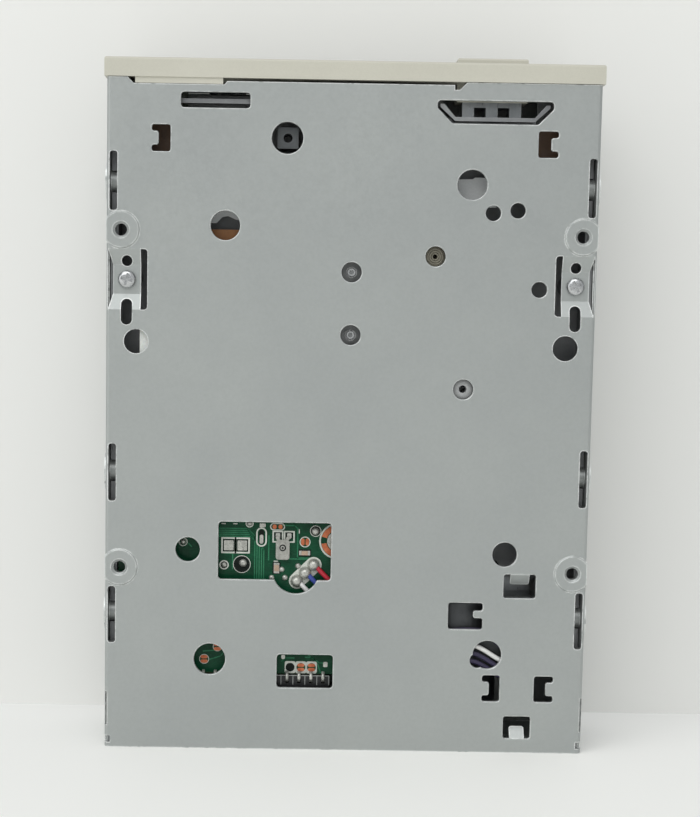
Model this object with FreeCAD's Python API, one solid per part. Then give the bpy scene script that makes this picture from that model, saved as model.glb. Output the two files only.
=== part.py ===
"""Internal 3.5-inch floppy disk drive, one inch high.

It stands on its rear edge: Z runs up from the rear edge to the bezel, -Y is the underside
and X runs across. Sizes are in millimetres. Heights are counted up from the underside,
and places along the drive are counted back from the front pair of bottom mount holes.
"""
import FreeCAD
import Part
import math
import os

V = FreeCAD.Vector

# Overall form
form_width = 101.6
form_height = 25.4
body_length = 139.3
sheet = 0.6
pad_rise = 0.3
bend_radius = 0.8

# Fits
seat_gap = 0.05
running_gap = 0.05
slide_gap = 0.2
cover_gap = 0.15
bezel_gap = 0.1
swing_gap = 0.3

# How near counts as the same when edges are picked
same_way = 1e-6
same_level = 1e-5

# Mount holes, tapped M3 in collars drawn out of the sheet
mount_inset = 3.3
mount_along = 70.0
front_hole_setback = 30.8
tapped_r = 1.25
collar_r = 2.2
collar_length = 1.4
mount_sink = 0.5
mount_pad_r = 3.6
pad_flank = 0.3
side_pad_r = 4.2
side_hole_height = 5.0
side_hole_lead = 9.95
side_hole_steps = (0.0, 60.0, 90.0)
side_notch_length = 12.0
side_notch_depth = 1.6
side_notch_round = 0.6

# Bottom cover
bottom_flange_top = 11.5
rear_flange_from = 15.0
window_corner = 0.7
mouth_round = 0.2
lip_step = 1.25
edge_step = 0.55
lip_from = -46.3
lip_to = -26.6
edge_notch_from = 20.3
edge_notch_to = 22.8
edge_notch_depth = 1.5
round_windows = (
    (-13.6, -19.1, 3.2),
    (24.4, -10.3, 3.05),
    (33.9, -5.2, 1.55),
    (28.85, -4.6, 1.55),
    (38.75, 10.85, 1.6),
    (-26.1, -1.2, 3.0),
    (-33.2, 66.05, 2.55),
    (33.2, 66.1, 2.55),
)
# Windows counted in from the sides: side, inset, place back and radius
side_windows = (
    (-1, 6.2, 22.8, 2.5),
    (1, 6.05, 22.85, 2.6),
)
# Windows counted up from the rear edge: place across, place up and radius
rear_windows = (
    (-28.4, 19.2, 3.3),
    (30.1, 21.0, 3.0),
    (28.1, 19.75, 1.6),
)
fastener_window_r = 2.05
led_slot_x = (-35.4, -21.3)
led_slot_back = (-28.0, -24.9)
button_slot_x = (16.9, 40.6)
button_slot_back = (-27.2, -22.6)
button_slot_square = 1.5
board_window_x = (-26.8, -3.2)
board_window_back = (60.1, 72.2)
board_window_lobe = (-10.5, 70.2, 4.9)
pin_window_x = (-14.2, -2.4)
pin_window_z = (13.3, 20.4)
# Lanced holes: span across, span back, then the tab's span across and back inside it
front_lanced_holes = (
    ((-41.3, -37.5), (-21.4, -16.0), (-41.3, -39.9), (-20.1, -17.3)),
    ((37.7, 41.8), (-21.3, -16.0), (40.3, 41.8), (-20.0, -17.3)),
)
# The same, counted up from the rear edge
rear_lanced_holes = (
    ((21.7, 28.9), (26.4, 32.0), (26.9, 28.9), (28.8, 30.4)),
    ((29.2, 32.9), (11.0, 16.6), (29.2, 30.7), (12.3, 15.2)),
    ((40.2, 44.2), (11.0, 16.5), (42.6, 44.2), (12.3, 15.2)),
)
# Holes with a tab bent inwards: span across, span up, the tab's span across and the way it points
bent_tab_holes = (
    ((33.2, 39.9), (33.2, 38.2), (34.6, 38.6), -1),
    ((33.9, 39.6), (3.1, 7.8), (35.3, 38.4), 1),
)
bent_tab_length = 2.8
tab_bend = 35.0
lanced_corner = 0.5
rear_slit_x = 0.45
rear_slit_z = (4.7, 11.9)
rear_nick = (1.0, 2.4)
rear_nick_depth = 1.2

# Screwed bridges of the bottom cover
bridge_inset = 4.2
bridge_back = 10.1
bridge_width = 5.75
bridge_slit_inner = 1.4
bridge_slit_outer = 0.95
bridge_half_length = 6.2
bridge_land = 3.0
bridge_depth = 1.2
bridge_relief_r = 1.1
bridge_relief_lead = 3.8
bridge_slot_width = 2.3
bridge_slot_back = (4.0, 9.3)

# Screws
screw_head_r = 1.9
screw_head_height = 1.25
screw_shank_r = 1.2
screw_length = 5.0
recess_width = 0.55
recess_length = 2.0
recess_depth = 0.7

# Chassis
wall = 1.5
wall_top = 22.5
deck_height = 10.0
deck_thickness = 1.2
deck_rear_back = 72.5
deck_setback = 2.3
chassis_rear = 1.0
rear_strip = 5.0
rotor_room = 1.0
clear_room = 1.0
lug_wall = 1.0
opening_room = 2.0
ledge_width = 6.2
ledge_lead = 3.4
ledge_length = 9.0
post_r = 1.0
guard_margin = 0.6
led_bar_height = (2.2, 4.0)
led_bar_thickness = 0.9
led_bar_x = (-40.0, -19.0)
boss_r = 2.4
notch_relief = 3.0

# Top cover
top_flange_bottom = 12.2
top_panel_press = 0.25
top_panel_margin = 14.0

# Bezel and the disk slot
bezel_overhang = 0.2
bezel_thickness = 3.9
bezel_front_wall = 1.6
bezel_edge_round = 0.5
disk_slot_margin = 0.35
disk_slot_height = (17.0, 21.6)
finger_recess_half = 11.0
finger_recess_depth = 1.0
flap_axis_height = 22.7
flap_axis_setback = 0.9
flap_thickness = 1.0
flap_bottom = 16.7
flap_overlap = 0.4
flap_pin_r = 0.7
flap_knuckle_r = 1.2
flap_spring_x = (-31.0, -23.0)
flap_spring_r = 1.35
spring_wire = 0.4

# Eject button and slider
button_x = (21.1, 35.7)
button_height = (4.3, 10.3)
button_proud = 1.5
button_stem_inset = 1.2
slider_height = 11.4
slider_thickness = 0.8
slider_setback = 6.8
slider_front_depth = 20.0
slider_rear_back = 58.5
slider_strip = 9.0
slider_flange_top = 21.2
slider_travel = 6.5
tongue_inset = 2.0
tongue_bays = 5
bracket_thickness = 1.0
bracket_x = (19.5, 37.5)
bracket_foot = 3.9
guard_height = (1.3, 3.4)
guard_thickness = 0.8

# Disk holder
slider_side_room = 1.1
holder_sheet = 0.8
holder_lip_height = 16.5
holder_top = 22.7
holder_front_setback = 5.3
holder_rear_back = 63.5
holder_drop = 2.6
holder_lip = 5.0
holder_lip_back = (-7.5, 56.5)
holder_pin_r = 1.0
holder_pin_height = 19.0
holder_pin_back = (-11.5, 48.5)
cam_gap = 0.15
arm_opening_half = 11.0
arm_opening_back = 30.5

# Trigger lever on the holder
lever_pivot_x = 38.0
lever_pivot_back = 52.5
lever_length = 22.0
lever_angle = 25.0
lever_swing = 42.0
lever_thickness = 1.0
lever_width = 5.0
lever_pivot_r = 1.5
lever_pin_r = 1.3
lever_pin_reach = 4.9
lever_spring_arm = 6.5
lever_spring_length = 20.0
lever_spring_r = 0.8

# Eject springs
eject_spring_x = 12.0
eject_spring_r = 1.1
eject_spring_setback = 7.8
eject_spring_length = 17.5
spring_hook_length = 2.4
least_turns = 3

# Spindle motor
spindle_back = 14.35
motor_board_height = 3.6
motor_board_thickness = 1.2
motor_board_gap = 0.5
motor_board_right = 30.0
motor_board_back = (-0.5, 42.5)
bearing_screw_offset = 6.45
board_boss_places = ((23.6, 31.65), (-30.0, 28.0))
rivet_place = (17.2, 4.4)
rivet_head_r = 1.7
rivet_hole_r = 0.7
rotor_r = 16.0
rotor_wall = 0.9
rotor_height = (5.6, 9.5)
magnet_wall = 2.0
air_gap = 0.5
core_height = (6.3, 7.5)
core_ring = 6.5
tooth_count = 9
tooth_width = 2.0
pole_shoe = 1.4
shoe_width = 6.0
coil_wall = 0.6
bearing_r = 3.6
bearing_flange_r = 8.5
bearing_flange = 0.8
bearing_height = (2.6, 8.3)
bearing_floor = 0.5
shaft_r = 1.5
shaft_top = 16.4
shaft_chamfer = 0.5
hub_r = 11.5
hub_boss_r = 5.0
hub_height = (12.6, 14.9)
drive_pin_r = 1.1
drive_pin_radius = 9.2
drive_pin_rise = 1.0

# Head carriage, rods and screw
track_zero_radius = 39.5
head_travel = 14.8
rod_r = 1.5
rod_x = 10.0
rod_height = 9.0
rod_lug = 3.0
rod_front_back = 29.1
carriage_half = 13.0
carriage_height = (7.0, 13.0)
carriage_length = 18.0
carriage_ahead = 7.3
head_width = 4.0
head_length = 6.0
head_face = 16.3
head_air = 0.2
arm_pivot_setback = 20.5
arm_pivot_height = 18.5
arm_lift = 12.0
arm_half = 5.0
arm_reach = 2.8
arm_below = 0.6
arm_above = 0.7
arm_pin_r = 0.8
arm_knuckle_r = 1.5
arm_ear = 2.0
screw_x = 24.0
screw_height = 11.6
screw_r = 1.5
screw_journal_r = 1.05
nut_half = 2.5
nut_length = 5.0
nut_gap = 0.1
screw_end_back = 37.0
screw_bearing_length = 3.5
stepper_r = 9.2
stepper_rear = 9.0
stepper_setback = 4.0
stepper_cap_r = 4.0
stepper_cap = 2.0
stepper_plate = 1.0
stepper_plate_inset = 1.0
stepper_tab_x = (29.5, 40.0)
stepper_tab_screws = (32.0, 37.5)

# Main board and connectors
board_height = 3.5
board_thickness = 1.6
board_side_gap = 0.25
board_right = 13.0
board_rear = 15.6
board_front_back = 57.5
ledge_screw_inset = 3.25
ledge_screw_lead = 7.4
deck_board_screws = ((-40.0, 61.5), (0.0, 70.0))
pin_size = 0.64
pin_pitch = 2.54
pin_columns = 17
pin_last_x = -4.4
pin_rows = (4.6, 7.14)
pin_tip = 0.8
data_shell_height = (2.6, 9.4)
data_shell_z = (7.0, 15.4)
power_pitch = 2.5
power_count = 4
power_x = 6.5
power_row = 6.0
power_shell_half = 6.0
power_shell_height = (2.6, 9.0)
power_shell_z = (1.0, 15.4)
power_skin = 1.0
chip_x = -20.0
chip_size = 14.0
chip_thickness = 2.0
trimmer_x = (-14.8, -11.9)
trimmer_back = (64.1, 68.3)
trimmer_thickness = 1.1
trimmer_dial_r = 1.0
lead_r = 0.5
lead_drop = 1.1
jumper_starts = ((-6.8, 69.1), (-8.5, 70.85), (-10.1, 72.75))
jumper_slant = 4.5
jumper_run = 6.0
stepper_lead_height = 1.55
stepper_lead_x = (10.5, 31.5)
stepper_lead_pitch = 1.7
stepper_lead_setback = 2.0
stepper_lead_count = 5
terminal_x = (27.0, 34.0)
terminal_height = (3.2, 6.0)
terminal_margin = 1.0

# Sensor boards and switches at the front
sensor_board_width = 13.0
sensor_board_inset = 2.25
sensor_board_back = (-22.6, -12.5)
sensor_board_height = 5.5
sensor_board_thickness = 1.2
switch_back = -18.2
switch_size = (4.4, 4.4)
switch_top = 12.9
protect_inset = 8.25
density_inset = 5.75
disk_switch_inset = 2.25
plunger_r = 0.9
plunger_top = 15.7
plunger_travel = 1.0
plunger_depth = 3.0
led_inset = 12.25
led_height = 7.9
led_r = 1.5
led_length = 5.0
led_collar_r = 1.9

# Slider guide pads
pad_inset = 6.15
pad_back = 22.8
pad_stub_r = 1.8
pad_head_r = 2.6
pad_head = 0.5
left_pad_reach = (2.6, 3.0)
right_pad_reach = (3.0, 0.6)
pad_half_length = 4.5
pad_foot = 1.4

# Worked-out places
half_height = form_height / 2
cover_half = form_width / 2 - pad_rise
plate_inner = pad_rise + sheet
front_row = body_length - front_hole_setback
wall_outer = cover_half - sheet - cover_gap
wall_inner = wall_outer - wall
deck_top = deck_height + deck_thickness
deck_front = body_length - deck_setback
bezel_back = body_length + bezel_gap
bezel_face = bezel_back + bezel_thickness
spindle_z = front_row - spindle_back
mount_across = form_width - 2 * mount_inset
bridge_x = cover_half - bridge_inset
bezel_width = form_width + 2 * bezel_overhang
deck_rear = front_row - deck_rear_back
slider_front = body_length - slider_setback
slider_rear = front_row - slider_rear_back
slider_flange_outer = wall_inner - slider_side_room
slider_flange_inner = slider_flange_outer - slider_thickness
slider_half = slider_flange_outer
holder_outer = slider_flange_inner - swing_gap
holder_inner = holder_outer - holder_sheet
holder_front = body_length - holder_front_setback
holder_rear = front_row - holder_rear_back
lever_pivot = (lever_pivot_x, front_row - lever_pivot_back)
disk_slot_half = holder_inner + disk_slot_margin
flap_half = disk_slot_half + flap_overlap
flap_axis_z = bezel_back + flap_axis_setback
head_z = spindle_z - track_zero_radius
arm_pivot_z = head_z - arm_pivot_setback
rod_front = front_row - rod_front_back
screw_end = front_row - screw_end_back
stepper_z = (stepper_rear, deck_rear - stepper_setback)
board_x = (board_side_gap - wall_inner, board_right)
board_z = (board_rear, front_row - board_front_back)
sensor_board_outer = wall_inner - sensor_board_inset
sensor_board_x = (sensor_board_outer - sensor_board_width, sensor_board_outer)
protect_x = protect_inset - holder_inner
disk_switch_x = disk_switch_inset - holder_inner
density_x = holder_inner - density_inset
led_x = led_inset - wall_inner
pad_x = slider_half - pad_inset
pad_z = front_row - pad_back
motor_board_x = (left_pad_reach[1] - pad_x + motor_board_gap, motor_board_right)
arm_height = (arm_pivot_height - arm_below, arm_pivot_height + arm_above)
board_top = board_height + board_thickness
motor_board_top = motor_board_height + motor_board_thickness


def behind(distance):
    """Height in Z of a place counted back from the front mount holes."""
    return front_row - distance


def span_behind(distances):
    """Span in Z of a span counted back from the front mount holes."""
    return (behind(distances[1]), behind(distances[0]))


def block(x, height, z):
    """Box from spans across, up from the underside and along the drive."""
    corner = V(x[0], height[0] - half_height, z[0])
    return Part.makeBox(x[1] - x[0], height[1] - height[0], z[1] - z[0], corner)


def around(centre, half):
    """Span of a given half size about a centre."""
    return (centre - half, centre + half)


def disc(x, z, radius, height):
    """Cylinder whose axis runs through the drive's height."""
    return Part.makeCylinder(radius, height[1] - height[0], V(x, height[0] - half_height, z), V(0, 1, 0))


def flared_disc(x, z, radii, height):
    """Cone frustum whose axis runs through the drive's height."""
    base = V(x, height[0] - half_height, z)
    return Part.makeCone(radii[0], radii[1], height[1] - height[0], base, V(0, 1, 0))


def rod_along(x, height, radius, z):
    """Cylinder that runs along the drive."""
    return Part.makeCylinder(radius, z[1] - z[0], V(x, height - half_height, z[0]), V(0, 0, 1))


def rod_across(height, z, radius, x):
    """Cylinder that runs across the drive."""
    return Part.makeCylinder(radius, x[1] - x[0], V(x[0], height - half_height, z), V(1, 0, 0))


def outline(points, height):
    """Flat piece with straight sides, from places across and along the drive."""
    corners = [V(x, height[0] - half_height, z) for x, z in points]
    face = Part.Face(Part.makePolygon(corners + corners[:1]))
    return face.extrude(V(0, height[1] - height[0], 0))


def profile_across(points, x):
    """Piece of constant section, from heights and places along the drive."""
    corners = [V(x[0], height - half_height, z) for height, z in points]
    face = Part.Face(Part.makePolygon(corners + corners[:1]))
    return face.extrude(V(x[1] - x[0], 0, 0))


def joined(shapes):
    """One solid from touching shapes."""
    whole = shapes[0].fuse(list(shapes[1:])) if len(shapes) > 1 else shapes[0]
    return whole.removeSplitter()


def group(shapes):
    """Separate solids kept in one node."""
    return Part.makeCompound(list(shapes))


def mirrored(shape):
    """The same shape on the other side of the drive."""
    return shape.mirror(V(0, 0, 0), V(1, 0, 0))


def both_sides(shapes):
    """Shapes with their mirror images."""
    return list(shapes) + [mirrored(shape) for shape in shapes]


def edges_along(shape, direction):
    """Straight edges that run in one direction."""
    found = []
    for edge in shape.Edges:
        first = edge.Vertexes[0].Point
        step = edge.Vertexes[-1].Point.sub(first)
        if step.Length > 0 and step.cross(direction).Length < same_way * step.Length:
            found.append(edge)
    return found


def rounded_window(x, height, z, radius):
    """Box whose four edges through the sheet are rounded."""
    plain = block(x, height, z)
    return plain.makeFillet(radius, edges_along(plain, V(0, 1, 0)))


def edges_at_height(shape, height):
    """Edges that lie in one plane parallel to the underside."""
    level = height - half_height
    found = []
    for edge in shape.Edges:
        box = edge.BoundBox
        if abs(box.YMin - level) < same_level and abs(box.YMax - level) < same_level:
            found.append(edge)
    return found


def save(name, shape):
    """Write one node."""
    shape.exportStep(os.path.join("parts", name + ".step"))


# Bottom cover
def screwed_bridge(side):
    """Pressed strip that carries a cover screw, flared into the bend at both ends."""
    z = behind(bridge_back)
    inner = bridge_x - bridge_width / 2
    outer = bridge_x + bridge_width / 2
    flare = outer + bridge_slit_outer
    low = pad_rise + bridge_depth
    faces = (
        (pad_rise, z + bridge_half_length),
        (low, z + bridge_land),
        (low, z - bridge_land),
        (pad_rise, z - bridge_half_length),
    )
    section = list(faces) + [(height + sheet, place) for height, place in reversed(faces)]
    strip = profile_across(section, (inner, flare))
    through = (0, plate_inner + bridge_depth + sheet)
    plan = outline(
        (
            (inner, z + bridge_half_length),
            (flare, z + bridge_half_length),
            (outer, z + bridge_land),
            (outer, z - bridge_land),
            (flare, z - bridge_half_length),
            (inner, z - bridge_half_length),
        ),
        through,
    )
    strip = strip.common(plan)
    strip = strip.cut([disc(bridge_x, z, screw_shank_r + slide_gap, through), bridge_holes(1)])
    return strip if side > 0 else mirrored(strip)


def bridge_holes(side):
    """Round relief ahead of the screw and the long one behind it."""
    z = behind(bridge_back)
    through = (0, plate_inner + bridge_depth + sheet)
    front = disc(side * bridge_x, z + bridge_relief_lead, bridge_relief_r, through)
    half = bridge_slot_width / 2
    rear = rounded_window(
        around(side * bridge_x, half),
        through,
        (z - bridge_slot_back[1], z - bridge_slot_back[0]),
        half - seat_gap,
    )
    return front.fuse(rear)


def bridge_opening(side):
    """Strip and slits that the bridge leaves in the plate."""
    inner = bridge_width / 2 + bridge_slit_inner
    outer = bridge_width / 2 + bridge_slit_outer
    span = (bridge_x - inner, bridge_x + outer)
    if side < 0:
        span = (-span[1], -span[0])
    z = around(behind(bridge_back), bridge_half_length)
    return rounded_window(span, (0, plate_inner + sheet), z, window_corner)


def front_edge_cut(through):
    """What the stepped front edge of the plate leaves out."""
    edge = body_length
    slope = lip_step
    return outline(
        (
            (lip_from, edge + lip_step),
            (lip_from, edge),
            (lip_from + slope, edge - lip_step),
            (lip_to, edge - lip_step),
            (lip_to + edge_step, edge - edge_step),
            (edge_notch_from, edge - edge_step),
            (edge_notch_from, edge - edge_notch_depth),
            (edge_notch_to - edge_notch_depth, edge - edge_notch_depth),
            (edge_notch_to, edge),
            (edge_notch_to, edge + lip_step),
        ),
        through,
    )


def button_window(through):
    """Slot behind the button, its rear corners cut at an angle."""
    x = button_slot_x
    z = span_behind(button_slot_back)
    slant = z[1] - z[0] - button_slot_square
    shape = outline(
        (
            (x[0], z[1]),
            (x[0], z[1] - button_slot_square),
            (x[0] + slant, z[0]),
            (x[1] - slant, z[0]),
            (x[1], z[1] - button_slot_square),
            (x[1], z[1]),
        ),
        through,
    )
    return shape.makeFillet(window_corner, edges_along(shape, V(0, 1, 0)))


def lanced_hole(through, x, z, tab_x, tab_z):
    """Hole punched round a tab, with its corners eased."""
    shape = block(x, through, z).cut(block(tab_x, through, tab_z))
    return shape.makeFillet(lanced_corner, edges_along(shape, V(0, 1, 0)))


def bent_tab(x, z, way):
    """Tab of a lanced hole, bent inwards at the hole's edge, with its free corners eased."""
    root = z[0] if way > 0 else z[1]
    tab = block(x, (pad_rise, plate_inner), sorted((root, root + way * bent_tab_length)))
    free = [edge for edge in edges_along(tab, V(0, 1, 0)) if abs(edge.CenterOfMass.z - root) > sheet]
    tab = tab.makeFillet(lanced_corner, free)
    return tab.rotated(V(0, pad_rise - half_height, root), V(1, 0, 0), -way * tab_bend)


def plate_openings():
    """Every hole that goes straight through the plate."""
    through = (-sheet, plate_inner + sheet)
    cuts = [disc(x, behind(back), radius, through) for x, back, radius in round_windows]
    cuts += [disc(x, z, radius, through) for x, z, radius in rear_windows]
    for side, inset, back, radius in side_windows:
        cuts.append(disc(side * (cover_half - inset), behind(back), radius, through))
    for x, back in fastener_places():
        cuts.append(disc(x, behind(back), fastener_window_r, through))
    cuts.append(rounded_window(led_slot_x, through, span_behind(led_slot_back), window_corner))
    cuts.append(button_window(through))
    lobe_x, lobe_back, lobe_r = board_window_lobe
    cuts.append(rounded_window(board_window_x, through, span_behind(board_window_back), window_corner))
    cuts.append(disc(lobe_x, behind(lobe_back), lobe_r, through))
    cuts.append(rounded_window(pin_window_x, through, pin_window_z, window_corner))
    for x, back, tab_x, tab_back in front_lanced_holes:
        cuts.append(lanced_hole(through, x, span_behind(back), tab_x, span_behind(tab_back)))
    for x, z, tab_x, tab_z in rear_lanced_holes:
        cuts.append(lanced_hole(through, x, z, tab_x, tab_z))
    for x, z, *_ in bent_tab_holes:
        cuts.append(rounded_window(x, through, z, lanced_corner))
    cuts.append(front_edge_cut(through))
    return cuts


def fastener_places():
    """Motor fasteners that show through the plate."""
    bearing = [(0.0, spindle_back - bearing_screw_offset), (0.0, spindle_back + bearing_screw_offset)]
    return bearing + [board_boss_places[0], rivet_place]


def side_hole_places():
    """Places along the drive of the side mount holes."""
    return [behind(step - side_hole_lead) for step in side_hole_steps]


def edge_cuts():
    """Notches, slits and nicks along the bends on one side."""
    inner = cover_half - sheet
    through = (pad_rise - sheet, plate_inner + sheet)
    cuts = []
    for z in side_hole_places():
        notch_x = (inner - side_notch_depth, inner)
        span = around(z, side_notch_length / 2)
        cuts.append(rounded_window(notch_x, through, span, side_notch_round))
    slit_x = around(inner + sheet / 2, rear_slit_x / 2)
    cuts.append(block(slit_x, through, rear_slit_z))
    cuts.append(block((cover_half - rear_nick_depth, cover_half), through, rear_nick))
    return cuts


def mount_pad(x, z):
    """Raised pad with its drawn collar, ending at the bend."""
    pad = flared_disc(x, z, (mount_pad_r, mount_pad_r + pad_flank), (0, pad_rise))
    pad = pad.common(block((-cover_half, cover_half), (0, form_height), (0, body_length)))
    return pad.fuse(disc(x, z, collar_r, (pad_rise, plate_inner + collar_length)))


def side_pad(z):
    """Raised pad and collar of one side mount hole."""
    inner = cover_half - sheet
    pad = rod_across(side_hole_height, z, side_pad_r, (cover_half - sheet / 2, form_width / 2))
    return pad.fuse(rod_across(side_hole_height, z, collar_r, (inner - collar_length, cover_half)))


def bottom_cover():
    shell = block((-cover_half, cover_half), (pad_rise, bottom_flange_top), (0, body_length))
    bends = [edge for edge in edges_at_height(shell, pad_rise) if edge.BoundBox.XLength < sheet]
    shell = shell.makeFillet(bend_radius, bends)
    inner = cover_half - sheet
    shell = shell.cut(block((-inner, inner), (plate_inner, form_height), (sheet, body_length + sheet)))
    shell = shell.cut(block((-inner, rear_flange_from), (plate_inner, form_height), (-sheet, sheet)))
    shell = shell.cut(both_sides(edge_cuts()))
    shell = shell.cut([bridge_opening(-1), bridge_opening(1)])
    shell = shell.cut(plate_openings() + [bridge_holes(-1), bridge_holes(1)])
    shell = shell.makeFillet(mouth_round, inside_edges(shell))
    pads = [mount_pad(x, z) for x, z in mount_places()]
    pads += both_sides([side_pad(z) for z in side_hole_places()])
    tabs = [bent_tab(tab_x, z, way) for _, z, tab_x, way in bent_tab_holes]
    whole = joined([shell, screwed_bridge(-1), screwed_bridge(1)] + pads + tabs)
    bores = [disc(x, z, tapped_r, (-sheet, form_height)) for x, z in mount_places()]
    sunk = (tapped_r + mount_sink, tapped_r)
    bores += [flared_disc(x, z, sunk, (0, mount_sink)) for x, z in mount_places()]
    half = form_width / 2
    for z in side_hole_places():
        bores.append(rod_across(side_hole_height, z, tapped_r, (-half - sheet, half + sheet)))
    return whole.cut(bores)


def inside_edges(shell):
    """Mouths of the windows on the outer face, away from the sheet's own edges."""
    found = []
    for edge in edges_at_height(shell, pad_rise):
        box = edge.BoundBox
        at_side = max(abs(box.XMin), abs(box.XMax)) > bridge_x - bridge_width
        at_end = box.ZMin < sheet or box.ZMax > body_length - edge_notch_depth - sheet
        if not at_side and not at_end:
            found.append(edge)
    return found


def mount_places():
    """Bottom mount holes."""
    rows = (front_row, front_row - mount_along)
    return [(side * mount_across / 2, z) for side in (-1, 1) for z in rows]


# Chassis frame
def chassis_wall():
    """Right side wall with room for the cover's collars and slots for the holder pins."""
    shape = block((wall_inner, wall_outer), (plate_inner, wall_top), (chassis_rear, body_length))
    across = (wall_inner - sheet, wall_outer + sheet)
    cuts = []
    for z in side_hole_places():
        cuts.append(rod_across(side_hole_height, z, collar_r + swing_gap, across))
        relief = (plate_inner, plate_inner + notch_relief)
        cuts.append(block(across, relief, around(z, side_notch_length / 2)))
    for x, z in mount_places()[2:]:
        room = (plate_inner, plate_inner + collar_length + swing_gap)
        cuts.append(disc(x, z, collar_r + swing_gap, room))
    half = holder_pin_r + cam_gap
    for back in holder_pin_back:
        ends = (holder_pin_height - holder_drop, holder_pin_height)
        cuts.append(block(across, ends, around(behind(back), half)))
        for height in ends:
            cuts.append(rod_across(height, behind(back), half, across))
    land = (plate_inner, pad_rise + bridge_depth + sheet)
    cuts.append(block(across, land, around(behind(bridge_back), bridge_half_length + swing_gap)))
    return shape.cut(cuts)


def deck_openings():
    """Holes in the deck for the rotor, the carriage, the screw, the switches and the button."""
    through = (deck_height, deck_top)
    left = -carriage_half - opening_room
    screw_side = screw_x + nut_half + opening_room
    rear = deck_rear + rear_strip
    bracket_room = (bracket_x[0] - clear_room, bracket_x[1] + clear_room)
    cuts = [
        disc(0, spindle_z, rotor_r + rotor_room, through),
        block((left, screw_side), through, (rear, screw_end - seat_gap)),
        block((left, -left), through, (rear, carriage_limit())),
        block(around(screw_x, screw_r + clear_room), through, (deck_rear, rear)),
        block(around(screw_x, screw_r + clear_room), through, screw_groove()),
        block(bracket_room, through, (bracket_rear() - swing_gap, deck_front)),
    ]
    for x in switch_places():
        half_x = switch_size[0] / 2 + swing_gap
        half_z = switch_size[1] / 2 + swing_gap
        cuts.append(block(around(x, half_x), through, around(behind(switch_back), half_z)))
    for side in (-1, 1):
        cuts.append(disc(side * pad_x, pad_z, pad_stub_r + seat_gap, through))
    return cuts


def carriage_limit():
    """Front end of the room that the carriage needs."""
    return head_z + carriage_ahead + head_travel + 2 * swing_gap


def screw_groove():
    """Span of the groove under the lead screw's front journal."""
    return (screw_end - 2 * seat_gap, screw_end + screw_bearing_length + swing_gap)


def switch_places():
    """Places across of the three switches."""
    return (protect_x, disk_switch_x, density_x)


def bracket_rear():
    """Rear face of the slider's bracket."""
    return slider_front - bracket_thickness


def button_guard():
    """Bent bar under the button's tongue, hung from the deck by its two ends."""
    z = span_behind(button_slot_back)
    x = (button_slot_x[0] + guard_margin, button_slot_x[1] - guard_margin)
    slant = z[1] - z[0] - button_slot_square
    top = z[1] - guard_margin
    low = z[0] + guard_margin
    thick = guard_thickness
    bar = outline(
        (
            (x[0], top),
            (x[0], top - guard_margin),
            (x[0] + slant, low),
            (x[1] - slant, low),
            (x[1], top - guard_margin),
            (x[1], top),
            (x[1] - thick, top),
            (x[1] - slant, low + thick),
            (x[0] + slant, low + thick),
            (x[0] + thick, top),
        ),
        guard_height,
    )
    leg_height = (guard_height[0], deck_height)
    legs = [
        block((x[0], x[0] + thick), leg_height, (top - guard_margin, top)),
        block((x[1] - thick, x[1]), leg_height, (top - guard_margin, top)),
    ]
    return [bar] + legs


def led_bar():
    """Bar across the slot by the lamp, hung from the deck by its two ends."""
    z = span_behind(led_slot_back)
    along = around((z[0] + z[1]) / 2, led_bar_thickness / 2)
    thick = led_bar_thickness
    return [
        block(led_bar_x, led_bar_height, along),
        block((led_bar_x[0], led_bar_x[0] + thick), (led_bar_height[0], deck_height), along),
        block((led_bar_x[1] - thick, led_bar_x[1]), (led_bar_height[0], deck_height), along),
    ]


def sensor_posts():
    """Posts that hold the two sensor boards under the deck."""
    z = span_behind(sensor_board_back)
    height = (sensor_board_height + sensor_board_thickness, deck_height)
    x = sensor_board_x[1] - wall - boss_r
    spots = (z[0] + post_r + seat_gap, z[1] - post_r - seat_gap)
    return both_sides([disc(x, spot, post_r, height) for spot in spots])


def rod_lugs():
    """Lugs under the deck that hold the two guide rods."""
    height = (rod_height - rod_r - lug_wall, deck_height)
    half = rod_r + lug_wall
    shapes = []
    for side in (-1, 1):
        across = around(side * rod_x, half)
        shapes.append(block(across, height, (deck_rear, deck_rear + rod_lug)))
        shapes.append(block(across, height, (carriage_limit(), rod_front + seat_gap)))
    return shapes


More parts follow.
